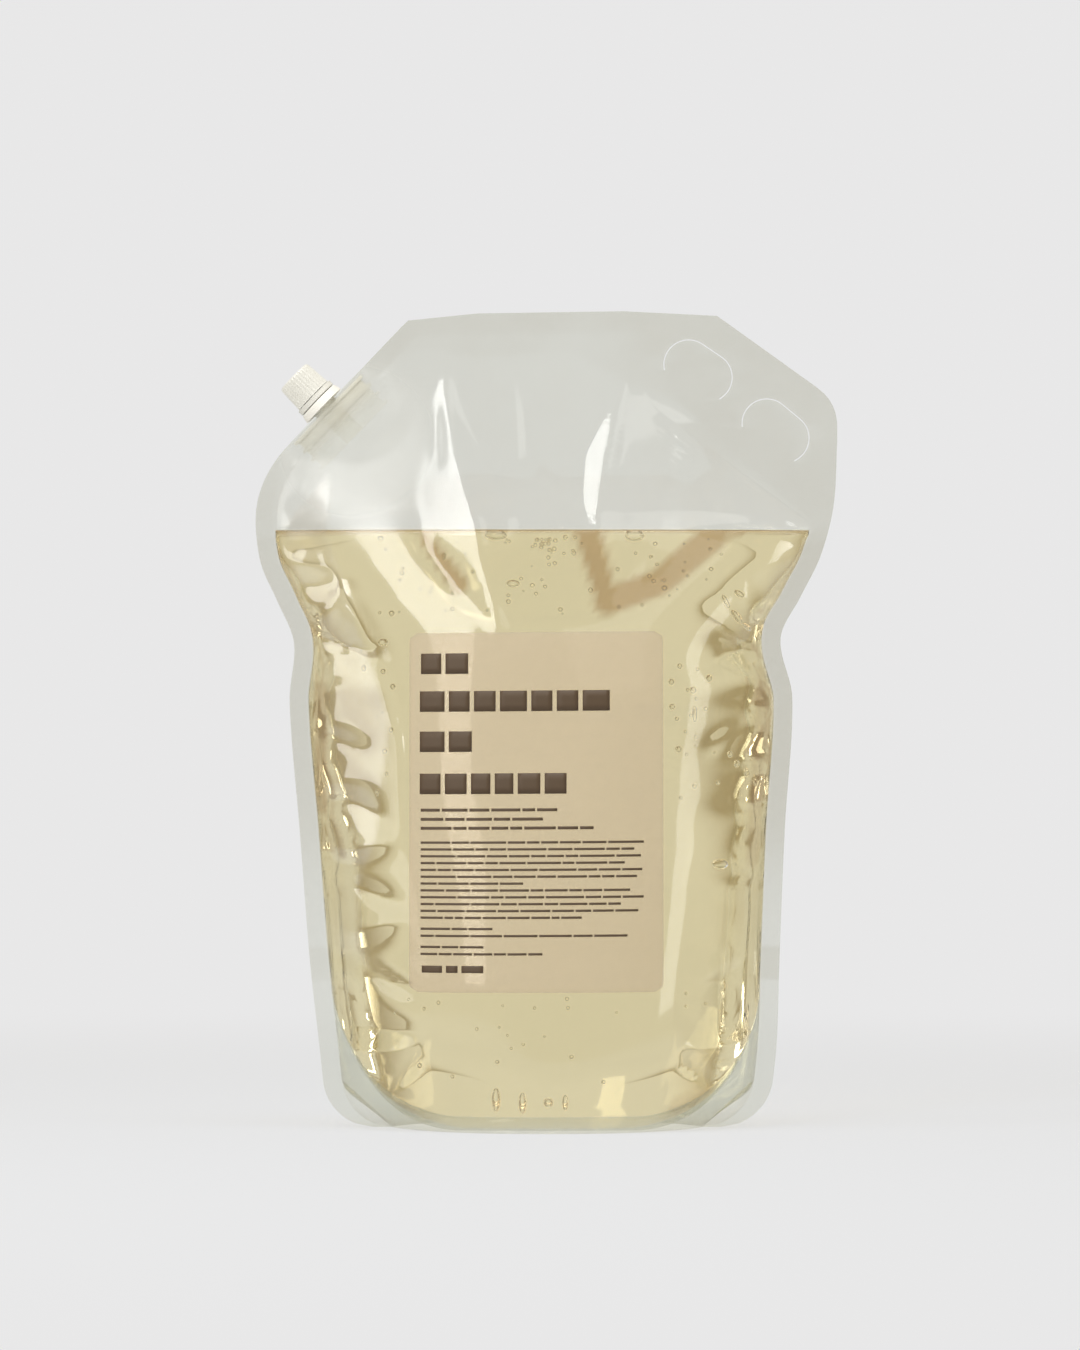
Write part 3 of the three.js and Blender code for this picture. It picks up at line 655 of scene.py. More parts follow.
@dataclass
class Webs:
    """The two films as height fields over a shared grid of columns and rows.

    Attributes:
        form: Shape of the filled pack.
        cavity_columns: Cells between the side seals.
        seal_columns: Cells across each seal.
        base_rows: Rows up to the end of the rounded base corners.
        upper_rows: Rows from there to the top.
    """

    form: PackForm
    cavity_columns: int = 104
    seal_columns: int = 5
    base_rows: int = 13
    upper_rows: int = 128
    shares: np.ndarray = field(init=False)
    rows: np.ndarray = field(init=False)

    def __post_init__(self) -> None:
        """Lay out the columns and the rows."""
        t = np.linspace(-1.0, 1.0, self.cavity_columns + 1)
        self.shares = 0.45 * t + 0.55 * np.sin(np.pi / 2 * t)
        low = np.linspace(0.0, self.form.base_corner, self.base_rows)
        high = np.linspace(self.form.base_corner, self.form.height, self.upper_rows)
        self.rows = np.concatenate([low, high[1:]])

    def span(self, z: np.ndarray) -> tuple[np.ndarray, np.ndarray]:
        """Left and right ends of the cavity at each height, in the row frame.

        Args:
            z: Heights before the lean.

        Returns:
            The left ends and the right ends.
        """
        left = -self.form.inner_edge(Side.LEFT, z) + self.form.shift
        right = self.form.inner_edge(Side.RIGHT, z) + self.form.shift
        return left, right

    def x_at(self, share: np.ndarray, z: np.ndarray) -> np.ndarray:
        """Place across, in the row frame, of a share of the cavity's width."""
        left, right = self.span(z)
        return left + (right - left) * (share + 1.0) / 2.0

    def share_at(self, x: np.ndarray, z: np.ndarray) -> np.ndarray:
        """Share of the cavity's width at a place in the row frame."""
        left, right = self.span(z)
        return np.clip((x - left) / (right - left) * 2.0 - 1.0, -1.0, 1.0)

    def wall(self, face: Face, x: np.ndarray, z: np.ndarray) -> np.ndarray:
        """Distance of a film's inner face from the middle plane.

        Args:
            face: Which film.
            x: Places across, in the row frame.
            z: Heights before the lean.

        Returns:
            The distance in millimetres.
        """
        x, z = np.broadcast_arrays(np.asarray(x, float), np.asarray(z, float))
        share = self.share_at(x, z)
        plain = self.form.wall(share, x - self.form.shift, z)
        left, right = self.span(z)
        insets = {Side.LEFT: x - left, Side.RIGHT: right - x}
        relief = RELIEFS[face].at(x, z, insets)
        held = smoothstep(self.form.height - self.form.seal - z, 1.0, 14.0)
        held = held * smoothstep(z, 2.0, 12.0)
        along, inwards = self.form.spout_frame(x - self.form.shift, z)
        boat = (np.abs(along) < 26.0) * (1.0 - smoothstep(inwards, 17.0, 30.0))
        floor = self.form.gap / 2
        return np.maximum(plain + relief * held * (1.0 - boat), floor)

    def painted_sheen(self, x: np.ndarray, z: np.ndarray) -> np.ndarray:
        """Share of painted sheen along the side seals, where more mirroring coat stands in for the lamps'
        reflection on the flanks.

        Args:
            x: Places across, in the row frame.
            z: Heights before the lean.

        Returns:
            The share, from 0 to 1.
        """
        left, right = self.span(z)
        fold = np.array(PAINTED_SHEEN_FOLD)
        tip_x, tip_z = PAINTED_SHEEN_FOLD[-1]
        near_left = 1.0 - smoothstep(x - np.interp(z, fold[:, 1], fold[:, 0]), -1.4, 1.0)
        near_left = near_left * (0.35 + 0.65 * smoothstep(x - left, 2.0, 7.0))
        slant = tip_x - PAINTED_SHEEN_SLANT * (tip_z - z)
        wet = z < self.form.fill
        near_left = near_left * (smoothstep(x - slant, -1.0, 1.5) + wet).clip(0.0, 1.0)
        near_left = near_left * (1.0 - smoothstep(z, 240.0, 247.0)) * smoothstep(z, 45.0, 75.0)
        near_right = 1.0 - smoothstep(right - x, 3.0, 11.0 + 2.0 * np.sin(z / 7.0 + 1.0))
        surface = smoothstep(z, self.form.fill - 6.0, self.form.fill + 2.0)
        near_right = near_right * (1.0 - surface) * smoothstep(z, 12.0, 40.0)
        return np.maximum(near_left, PAINTED_SHEEN_RIGHT * near_right)

    def grid(self) -> tuple[np.ndarray, np.ndarray, np.ndarray]:
        """Place across, height and seal share of each corner, as arrays of column and row.

        Returns:
            The three arrays.
        """
        z = self.rows[None, :]
        left, right = self.span(self.rows)
        out_left = -self.form.outer_edge(Side.LEFT, self.rows) + self.form.shift
        out_right = self.form.outer_edge(Side.RIGHT, self.rows) + self.form.shift
        t = np.linspace(0.0, 1.0, self.seal_columns + 1)[:-1, None]
        seal_left = out_left + (left - out_left) * t
        seal_right = right + (out_right - right) * (1.0 - t[::-1])
        inside = self.x_at(self.shares[:, None], z)
        x = np.concatenate([seal_left, inside, seal_right])
        seal = np.zeros_like(x)
        seal[: self.seal_columns] = 1.0
        seal[-self.seal_columns :] = 1.0
        hems = smoothstep(z, self.form.height - 8.5, self.form.height - 6.0)
        hems = np.maximum(hems, 1.0 - smoothstep(z, 5.0, 7.0))
        seal = np.maximum(seal, hems)
        return x, np.broadcast_to(z, x.shape), seal


WEBS = Webs(FORM)


def leaned(x: np.ndarray, y: np.ndarray, z: np.ndarray) -> np.ndarray:
    """Points in the row frame, with the top edge's lean."""
    x, y, z = np.broadcast_arrays(x, y, z)
    return np.stack([x, y, FORM.lean(x - FORM.shift, z)], axis=-1)


# Finishes


Colour = tuple[float, float, float]
Operand = float | bpy.types.NodeSocket


class NodeTree:
    """Builds the node tree of one material."""

    def __init__(self, name: str, color: Colour, blend: bool = False) -> None:
        """Start a material with an empty tree and its output.

        Args:
            name: Name of the material.
            color: Colour in a plain viewport.
            blend: Whether the viewport blends what is behind.
        """
        self.material = bpy.data.materials.new(name)
        self.material.use_nodes = True
        self.material.diffuse_color = (*color, 1.0)
        self.nodes = self.material.node_tree.nodes
        self.links = self.material.node_tree.links
        self.nodes.clear()
        self.output = self.nodes.new("ShaderNodeOutputMaterial")
        if blend:
            self.material.surface_render_method = "BLENDED"

    def feed(self, socket: bpy.types.NodeSocket, value: Operand) -> None:
        """Give a socket a number, or link another socket to it.

        Args:
            socket: The input.
            value: The number or the other socket.
        """
        if isinstance(value, (int, float)):
            socket.default_value = value
        else:
            self.links.new(value, socket)

    def principled(self, color: Colour, roughness: float, **inputs: float) -> bpy.types.Node:
        """Add a Principled shader; inputs are socket names with spaces as underscores.

        Args:
            color: Base colour.
            roughness: Roughness.
            **inputs: Values of further sockets.

        Returns:
            The shader.
        """
        node = self.nodes.new("ShaderNodeBsdfPrincipled")
        node.inputs["Base Color"].default_value = (*color, 1.0)
        node.inputs["Roughness"].default_value = roughness
        for key, value in inputs.items():
            node.inputs[key.replace("_", " ")].default_value = value
        return node

    def transparent(self, color: Colour) -> bpy.types.Node:
        """Add a Transparent shader.

        Args:
            color: Colour that light takes on.

        Returns:
            The shader.
        """
        node = self.nodes.new("ShaderNodeBsdfTransparent")
        node.inputs["Color"].default_value = (*color, 1.0)
        return node

    def math(self, operation: str, *operands: Operand) -> bpy.types.NodeSocket:
        """Add a math node and return its result.

        Args:
            operation: The node's operation.
            *operands: Its inputs in order.

        Returns:
            The result.
        """
        node = self.nodes.new("ShaderNodeMath")
        node.operation = operation
        for socket, value in zip(node.inputs, operands):
            self.feed(socket, value)
        return node.outputs[0]

    def place(self) -> bpy.types.NodeSocket:
        """Place on the object, in metres."""
        return self.nodes.new("ShaderNodeTexCoord").outputs["Object"]

    def axes(self) -> bpy.types.Node:
        """The place on the object, split into X, Y and Z.

        Returns:
            The node, with its outputs X, Y and Z.
        """
        split = self.nodes.new("ShaderNodeSeparateXYZ")
        self.links.new(self.place(), split.inputs[0])
        return split

    def vector(self, operation: str, vector: tuple[float, float, float]) -> bpy.types.NodeSocket:
        """Measure the place on the object against a vector and return the number.

        Args:
            operation: The node's operation.
            vector: The vector, in metres where it is a place.

        Returns:
            The number's socket.
        """
        node = self.nodes.new("ShaderNodeVectorMath")
        node.operation = operation
        node.inputs[1].default_value = vector
        self.links.new(self.place(), node.inputs[0])
        return node.outputs["Value"]

    def attribute(self, name: str) -> bpy.types.NodeSocket:
        """Read a number that the mesh stores on its points.

        Args:
            name: Name of the attribute.

        Returns:
            The number's socket.
        """
        node = self.nodes.new("ShaderNodeAttribute")
        node.attribute_name = name
        return node.outputs["Fac"]

    def ramp(
        self,
        value: bpy.types.NodeSocket,
        span: tuple[float, float],
        result: tuple[float, float] = (0.0, 1.0),
    ) -> bpy.types.NodeSocket:
        """Map a value smoothly from one span to another.

        Args:
            value: The value to map.
            span: Values that give the two results.
            result: The two results.

        Returns:
            The mapped value's socket.
        """
        node = self.nodes.new("ShaderNodeMapRange")
        node.interpolation_type = "SMOOTHSTEP"
        node.inputs["From Min"].default_value, node.inputs["From Max"].default_value = span
        node.inputs["To Min"].default_value, node.inputs["To Max"].default_value = result
        self.links.new(value, node.inputs["Value"])
        return node.outputs["Result"]

    def facing(self, power: float) -> bpy.types.NodeSocket:
        """Rise from 0 where the surface faces the eye to 1 at its rim.

        Args:
            power: How closely the mask keeps to the rim.

        Returns:
            The mask.
        """
        node = self.nodes.new("ShaderNodeLayerWeight")
        node.inputs["Blend"].default_value = 0.5
        return self.math("POWER", node.outputs["Facing"], power)

    def tint(self, factor: bpy.types.NodeSocket, first: Colour, second: Colour) -> bpy.types.NodeSocket:
        """Mix two colours and return the result.

        Args:
            factor: Share of the second colour.
            first: First colour.
            second: Second colour.

        Returns:
            The colour's socket.
        """
        node = self.nodes.new("ShaderNodeMix")
        node.data_type = "RGBA"
        node.inputs["A"].default_value = (*first, 1.0)
        node.inputs["B"].default_value = (*second, 1.0)
        self.links.new(factor, node.inputs["Factor"])
        return node.outputs["Result"]

    def ray(self, kind: str) -> bpy.types.NodeSocket:
        """Tell whether the ray is of a kind, such as Camera or Shadow."""
        return self.nodes.new("ShaderNodeLightPath").outputs[f"Is {kind} Ray"]

    def mix(self, factor: Operand, first: bpy.types.Node, second: bpy.types.Node) -> bpy.types.Node:
        """Mix two shaders.

        Args:
            factor: Share of the second shader.
            first: First shader.
            second: Second shader.

        Returns:
            The mixed shader.
        """
        node = self.nodes.new("ShaderNodeMixShader")
        self.feed(node.inputs[0], factor)
        self.links.new(first.outputs[0], node.inputs[1])
        self.links.new(second.outputs[0], node.inputs[2])
        return node

    def finish(self, shader: bpy.types.Node) -> bpy.types.Material:
        """Join the shader to the output and return the material."""
        self.links.new(shader.outputs[0], self.output.inputs["Surface"])
        return self.material


@dataclass(frozen=True)
class ClearFilm:
    """Thin clear laminate: see-through, with mirror glints, a faint milky haze and painted sheen along the side
    seals.

    Each haze is the share of the mirroring coat over the clear film. The places are in
    millimetres from the middle of the spout, and the reach in metres.
    """

    coat: Colour = (0.93, 0.93, 0.92)
    clear: Colour = (0.958, 0.961, 0.944)
    metallic: float = 0.84
    roughness: float = 0.07
    haze: float = 0.022
    dry_haze: float = 0.018
    seal_haze: float = 0.02
    painted_sheen_haze: float = 0.1
    rim_haze: float = 0.2
    rim_power: float = 4.0
    cloud_haze: float = 0.022
    cloud_roughness: float = 0.33
    cloud_place: tuple[float, float, float] = (12.0, 0.0, -14.0)
    cloud_reach: tuple[float, float] = (0.05, 0.014)
    mottle_haze: float = 0.09
    mottle_offset: float = -0.042
    mottle_scale: float = 22.0
    mottle_detail: float = 3.0

    def material(self) -> bpy.types.Material:
        """Build the material.

        Returns:
            The material.
        """
        tree = NodeTree("clear_film", (0.87, 0.88, 0.86), blend=True)
        coat = tree.principled(self.coat, self.roughness, Metallic=self.metallic)
        clear = tree.transparent(self.clear)
        dry = tree.math("GREATER_THAN", tree.axes().outputs["Z"], (FORM.fill - 1.0) * MM)
        spout = FORM.spout_origin + np.array([FORM.shift, 0.0, 0.0])
        centre = tuple((spout + np.array(self.cloud_place)) * MM)
        cloud = tree.ramp(tree.vector("DISTANCE", centre), self.cloud_reach)
        rough = tree.math("MULTIPLY_ADD", cloud, self.cloud_roughness, self.roughness)
        tree.links.new(rough, coat.inputs["Roughness"])
        mottle = tree.nodes.new("ShaderNodeTexNoise")
        mottle.inputs["Scale"].default_value = self.mottle_scale
        mottle.inputs["Detail"].default_value = self.mottle_detail
        tree.links.new(tree.place(), mottle.inputs["Vector"])
        uneven = tree.math("MULTIPLY_ADD", mottle.outputs["Fac"], self.mottle_haze, self.mottle_offset)
        haze = tree.math("MULTIPLY_ADD", dry, self.dry_haze, self.haze)
        haze = tree.math("MULTIPLY_ADD", uneven, dry, haze)
        haze = tree.math("MULTIPLY_ADD", tree.attribute("seal"), self.seal_haze, haze)
        haze = tree.math("MULTIPLY_ADD", cloud, self.cloud_haze, haze)
        # Painted sheen: more mirroring coat along the side seals, standing in for the lamps' reflection there.
        haze = tree.math("MULTIPLY_ADD", tree.attribute("painted_sheen"), self.painted_sheen_haze, haze)
        haze = tree.math("MULTIPLY_ADD", tree.facing(self.rim_power), self.rim_haze, haze)
        return tree.finish(tree.mix(haze, clear, coat))


@dataclass(frozen=True)
class Glass:
    """A clear body whose colour darkens by a mask of painted shade, and which lets the lamps' light through."""

    name: str
    shown: Colour
    color: Colour
    painted_shade_colour: Colour
    ior: float
    lit: Colour

    def material(self) -> bpy.types.Material:
        """Build the material.

        Returns:
            The material.
        """
        tree = NodeTree(self.name, self.shown)
        glass = tree.principled(self.color, 0.0, Transmission_Weight=1.0, IOR=self.ior)
        # Painted shade: the mask darkens the body's colour.
        shaded = tree.tint(self.painted_shade_mask(tree), self.color, self.painted_shade_colour)
        tree.links.new(shaded, glass.inputs["Base Color"])
        return tree.finish(tree.mix(tree.ray("Shadow"), glass, tree.transparent(self.lit)))

    def painted_shade_mask(self, tree: NodeTree) -> bpy.types.NodeSocket:
        """Return the mask of the painted shade."""
        raise NotImplementedError


@dataclass(frozen=True)
class Shampoo(Glass):
    """Clear pale yellow liquid, with painted shade in a darker brown along its folds, near its edges and at its
    surface.
    """

    name: str = "shampoo"
    shown: Colour = (0.85, 0.8, 0.6)
    color: Colour = (1.0, 0.885, 0.585)
    painted_shade_colour: Colour = (0.47, 0.25, 0.085)
    ior: float = 1.36
    lit: Colour = (0.97, 0.88, 0.62)

    def painted_shade_mask(self, tree: NodeTree) -> bpy.types.NodeSocket:
        """Return the painted shade that the mesh stores."""
        return tree.attribute("painted_shade")


@dataclass(frozen=True)
class Air(Glass):
    """Air in the liquid: the optical density inside the bubble is below that round it, and painted shade
    darkens its rim.
    """

    name: str = "air"
    shown: Colour = (0.95, 0.93, 0.85)
    color: Colour = (1.0, 1.0, 1.0)
    painted_shade_colour: Colour = (0.14, 0.09, 0.03)
    ior: float = 0.735
    lit: Colour = (1.0, 1.0, 1.0)
    rim_power: float = 1.15

    def painted_shade_mask(self, tree: NodeTree) -> bpy.types.NodeSocket:
        """Return the bubble's rim, where the painted shade falls."""
        return tree.facing(self.rim_power)


@dataclass(frozen=True)
class LabelFilm:
    """Translucent satin label."""

    satin: Colour = (0.80, 0.72, 0.66)
    roughness: float = 0.45
    clear: Colour = (0.94, 0.91, 0.88)
    cover: float = 0.15

    def material(self) -> bpy.types.Material:
        """Build the material.

        Returns:
            The material.
        """
        tree = NodeTree("label_film", (0.82, 0.75, 0.66), blend=True)
        satin = tree.principled(self.satin, self.roughness)
        return tree.finish(tree.mix(self.cover, tree.transparent(self.clear), satin))


@dataclass(frozen=True)
class Plain:
    """A plain opaque finish."""

    name: str
    shown: Colour
    color: Colour
    roughness: float

    def material(self) -> bpy.types.Material:
        """Build the material."""
        tree = NodeTree(self.name, self.shown)
        return tree.finish(tree.principled(self.color, self.roughness))


@dataclass(frozen=True)
class NaturalPlastic:
    """The spout's unpigmented polyethylene, which lets light through its thin welded end.

    The span is in millimetres along the spout from where it crosses the film's edge.
    """

    body: Colour = (0.95, 0.955, 0.92)
    roughness: float = 0.5
    clear: Colour = (0.995, 0.995, 0.985)
    span: tuple[float, float] = (-13.0, 1.5)
    cover: tuple[float, float] = (0.06, 0.95)

    def material(self) -> bpy.types.Material:
        """Build the material.

        Returns:
            The material.
        """
        tree = NodeTree("natural_plastic", (0.85, 0.85, 0.8), blend=True)
        body = tree.principled(self.body, self.roughness)
        axis = (-math.sin(FORM.spout_tilt), 0.0, math.cos(FORM.spout_tilt))
        origin = FORM.spout_origin + np.array([FORM.shift, 0.0, 0.0])
        level = float(np.dot(axis, origin))
        span = tuple((level + at) * MM for at in self.span)
        cover = tree.ramp(tree.vector("DOT_PRODUCT", axis), span, self.cover)
        return tree.finish(tree.mix(cover, tree.transparent(self.clear), body))


class Palette:
    """The materials of the pack, each built once."""

    def __init__(self) -> None:
        """Build the materials."""
        self.film = ClearFilm().material()
        self.liquid = Shampoo().material()
        self.air = Air().material()
        self.label = LabelFilm().material()
        self.ink = Plain("print_ink", (0.1, 0.06, 0.03), (0.085, 0.052, 0.026), 0.55).material()
        self.plastic = Plain("white_plastic", (0.92, 0.92, 0.88), (0.80, 0.81, 0.775), 0.42).material()
        self.natural = NaturalPlastic().material()


# Sub-assemblies


def dress(piece: bpy.types.Object, material: bpy.types.Material) -> bpy.types.Object:
    """Give a new piece its material and slot, and let it ride on the pack.

    Args:
        piece: The new piece.
        material: Its only material.

    Returns:
        The piece.
    """
    piece.data.materials.clear()
    piece.data.materials.append(material)
    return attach(piece, "root")


@dataclass(frozen=True)
class FingerHole:
    """One push-in oval of the handle: a slit that leaves a hinge of film.

    Attributes:
        x: Middle of the oval.
        z: Height of its middle.
        tilt: Fall of its long axis to the right, in degrees.
        radius: Radius of its round ends.
        straight: Half of its straight length.
        slit: Width of the slit.
        start: Angle where the slit starts, past the oval's foot.
        stop: Angle left before it closes.
        reach: How far the cutter goes to the front and the back.
        steps: Number of places along the slit.
    """

    x: float
    z: float
    tilt: float
    radius: float = 9.25
    straight: float = 4.25
    slit: float = 0.4
    start: float = 1.1
    stop: float = 0.75
    reach: float = 30.0
    steps: int = 72

    def cutter(self) -> bpy.types.Object:
        """Build the slit's cutter.

        Returns:
            The cutter.
        """
        angle = np.linspace(-0.5 * np.pi + self.start, 1.5 * np.pi - self.stop, self.steps)
        side = np.where(np.cos(angle) >= 0, self.straight, -self.straight)
        turn = math.radians(-self.tilt)
        rings = []
        for grow in (-self.slit / 2, self.slit / 2):
            u = side + (self.radius + grow) * np.cos(angle)
            v = (self.radius + grow) * np.sin(angle)
            x = self.x + u * math.cos(turn) - v * math.sin(turn)
            z = self.z + u * math.sin(turn) + v * math.cos(turn)
            depth = np.array([-self.reach, self.reach])[None, :]
            rings.append(np.stack(np.broadcast_arrays(x[:, None], depth, z[:, None]), axis=-1))
        return block_mesh("slit_cutter", np.stack(rings, axis=1))


def cut(piece: bpy.types.Object, cutter: bpy.types.Object) -> None:
    """Cut one object out of another and delete the cutter.

    Args:
        piece: Object to cut.
        cutter: Object to cut out of it.
    """
    bpy.ops.object.select_all(action="DESELECT")
    piece.select_set(True)
    bpy.context.view_layer.objects.active = piece
    modifier = piece.modifiers.new("cut", "BOOLEAN")
    modifier.operation = "DIFFERENCE"
    modifier.solver = "EXACT"
    modifier.object = cutter
    bpy.ops.object.modifier_apply(modifier=modifier.name)
    bpy.data.objects.remove(cutter)


@dataclass
class Pouch:
    """The front film, the back film and the bottom gusset."""

    palette: Palette
    thickness: float = 0.2
    skirt_cells: int = 3
    arch_cells: int = 36
    smooth_angle: float = 35.0
    finger_holes: tuple[FingerHole, ...] = (
        FingerHole(56.7, 282.7, 34.0),
        FingerHole(85.7, 260.3, 39.5),
    )

    def film(self, face: Face) -> bpy.types.Object:
        """Build one film.

        Args:
            face: Which film.

        Returns:
            The film.
        """
        x, z, seal = WEBS.grid()
        wall = WEBS.wall(face, x, z)
        offset = np.array([0.0, self.thickness])[None, :, None]
        y = face.value * (wall[:, None, :] + offset)
        points = leaned(x[:, None, :], y, z[:, None, :])
        values = np.broadcast_to(seal[:, None, :], points.shape[:3])
        name = "film_front" if face is Face.FRONT else "film_back"
        # Painted sheen along the side seals, stored on the corners.
        painted_sheen = np.broadcast_to(WEBS.painted_sheen(x, z)[:, None, :], points.shape[:3])
        piece = block_mesh(name, points, {"seal": values, "painted_sheen": painted_sheen})
        for hole in self.finger_holes:
            cut(piece, hole.cutter())
        bpy.ops.object.shade_smooth_by_angle(angle=math.radians(self.smooth_angle))
        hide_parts("front_film" if face is Face.FRONT else "back_film")
        return dress(piece, self.palette.film)

    def gusset(self) -> bpy.types.Object:
        """Build the folded bottom film: up the front hem, over the arch, down the back hem.

        Returns:
            The gusset.
        """
        share = WEBS.shares
        weld = FORM.weld_height(share)
        steps = 2 * self.skirt_cells + self.arch_cells
        rows = []
        for step in range(steps + 1):
            back = step > steps / 2
            from_hem = steps - step if back else step
            face = Face.BACK if back else Face.FRONT
            on_skirt = from_hem <= self.skirt_cells
            across = 1.0 if on_skirt else 1.0 - (from_hem - self.skirt_cells) / (self.arch_cells / 2)
            across = math.sin(math.pi / 2 * across)
            hem = weld * from_hem / self.skirt_cells
            low = hem if on_skirt else weld - FORM.sag(share, np.full_like(share, across))
            height = low if on_skirt else weld
            x = WEBS.x_at(share, height)
            ply = np.maximum(WEBS.wall(face, x, height) - FORM.gap - self.thickness, FORM.gap / 2)
            grow = np.array([0.0, self.thickness if on_skirt else 0.0])
            lift = np.array([0.0, self.thickness if from_hem >= self.skirt_cells else 0.0])
            y = face.value * (ply[:, None] - grow) * across
            rows.append(leaned(x[:, None], y, np.maximum(low, 0.02)[:, None] + lift))
        points = np.stack(rows, axis=1)
        piece = block_mesh("gusset", points, {"seal": np.zeros(points.shape[:3])})
        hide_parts("bottom_gusset")
        return dress(piece, self.palette.film)

    def build(self) -> None:
        """Build all three films."""
        self.film(Face.FRONT)
        self.film(Face.BACK)
        self.gusset()


@dataclass(frozen=True)
class Bubble:
    """An air bubble, sized in the picture plane, at a depth behind the front film."""

    x: float
    z: float
    width: float
    height: float
    depth: float = 0.8
    turn: float = 0.0


@dataclass(frozen=True)
class Swarm:
    """Many tiny bubbles in a part of the picture plane."""

    count: int
    x: tuple[float, float]
    z: tuple[float, float]
    size: tuple[float, float]

    def bubbles(self, rng: np.random.Generator) -> list[Bubble]:
        """Scatter the swarm's bubbles, with more of them near its top.

        Args:
            rng: Source of the random draws.

        Returns:
            The bubbles.
        """
        found = []
        for _ in range(self.count):
            size = rng.uniform(*self.size)
            rise = rng.uniform() ** 0.6
            found.append(
                Bubble(
                    rng.uniform(*self.x),
                    self.z[0] + (self.z[1] - self.z[0]) * rise,
                    size,
                    size * rng.uniform(0.85, 1.15),
                    rng.uniform(0.5, 9.0),
                )
            )
        return found


SWARMS = (
    Swarm(22, (-6.0, 12.0), (210.0, 220.0), (1.0, 2.1)),
    Swarm(56, (-62.0, 66.0), (186.0, 219.5), (0.8, 2.0)),
    Swarm(16, (46.0, 62.0), (120.0, 172.0), (1.1, 2.7)),
    Swarm(12, (-58.0, 60.0), (20.0, 50.0), (0.9, 1.8)),
    Swarm(10, (-68.0, -56.0), (120.0, 184.0), (1.0, 2.3)),
)


def scattered() -> list[Bubble]:
    """All tiny bubbles."""
    rng = np.random.default_rng(5)
    return [bubble for swarm in SWARMS for bubble in swarm.bubbles(rng)]


BUBBLES = (
    Bubble(-19.0, 220.9, 8.4, 3.8, 0.25),
    Bubble(32.7, 220.7, 7.4, 4.2, 0.25),
    Bubble(-61.7, 219.9, 2.4, 1.8),
    Bubble(-57.4, 191.8, 2.3, 2.3),
    Bubble(-60.5, 181.0, 4.0, 3.0),
    Bubble(-60.5, 170.2, 2.1, 2.1),
    Bubble(43.7, 201.2, 2.2, 2.0),
    Bubble(52.4, 205.7, 1.3, 1.3),
    Bubble(71.6, 199.3, 4.2, 2.2, 0.8, 0.5),
    Bubble(-46.9, 200.8, 1.2, 1.2),
    Bubble(-43.2, 199.7, 1.3, 1.1),
    Bubble(-35.0, 199.0, 1.2, 1.4),
    Bubble(-12.5, 202.7, 5.2, 3.0),
    Bubble(-9.4, 204.6, 1.5, 1.5),
    Bubble(-3.9, 199.0, 1.6, 1.5),
    Bubble(-1.7, 204.2, 1.2, 1.2),
    Bubble(46.4, 157.1, 2.4, 2.3),
    Bubble(54.8, 154.5, 1.9, 6.2),
    Bubble(55.2, 145.9, 1.6, 1.8),
    Bubble(55.2, 142.5, 1.3, 1.3),
    Bubble(51.8, 139.5, 1.5, 1.4),
    Bubble(63.4, 129.0, 1.8, 1.8),
    Bubble(64.1, 98.7, 6.8, 3.8),
    Bubble(7.5, 49.7, 1.6, 1.6),
    Bubble(7.9, 46.4, 1.5, 1.5),
    Bubble(9.2, 28.4, 1.7, 1.7),
    Bubble(20.9, 19.1, 1.6, 1.6),
    Bubble(51.4, 51.2, 1.4, 1.4),
    Bubble(51.4, 46.4, 1.4, 1.4),
    Bubble(58.7, 47.1, 1.4, 1.4),
    Bubble(-46.6, 24.7, 2.0, 2.0),
    Bubble(-34.6, 20.9, 1.6, 1.6),
    Bubble(-17.4, 39.3, 1.1, 1.1),
    Bubble(-14.4, 36.3, 1.0, 1.0),
    Bubble(-18.5, 12.6, 3.2, 8.6),
    Bubble(-8.8, 11.5, 2.8, 7.6),
    Bubble(0.7, 11.6, 3.4, 3.6),
    Bubble(6.9, 11.6, 2.2, 5.6),
    Bubble(66.6, 196.4, 2.0, 5.6, 0.8, -0.5),
    Bubble(70.6, 190.8, 2.6, 6.4, 0.8, -0.75),
    Bubble(74.4, 187.0, 2.0, 4.4, 0.8, -0.9),
    Bubble(68.0, 139.5, 2.2, 2.6),
    Bubble(70.5, 136.0, 2.6, 3.0),
    Bubble(74.2, 132.6, 2.8, 3.6),
    Bubble(77.6, 129.0, 2.2, 3.2),
)


@dataclass(frozen=True)
class Stroke:
    """A patch of painted shade in the liquid along a line, in millimetres in the row frame."""

    start: tuple[float, float]
    end: tuple[float, float]
    start_width: float
    end_width: float
    strength: float = 0.6

    def shade(self, x: np.ndarray, z: np.ndarray) -> np.ndarray:
        """Strength of the patch at each place.

        Args:
            x: Places across, in the row frame.
            z: Heights.

        Returns:
            The strength, from 0 to 1.
        """
        a, b = np.array(self.start), np.array(self.end)
        run = b - a
        t = np.clip(((x - a[0]) * run[0] + (z - a[1]) * run[1]) / float(run @ run), 0.0, 1.0)
        away = np.hypot(x - a[0] - t * run[0], z - a[1] - t * run[1])
        width = self.start_width + (self.end_width - self.start_width) * t
        return self.strength * (1.0 - smoothstep(away / width, 0.55, 1.0))


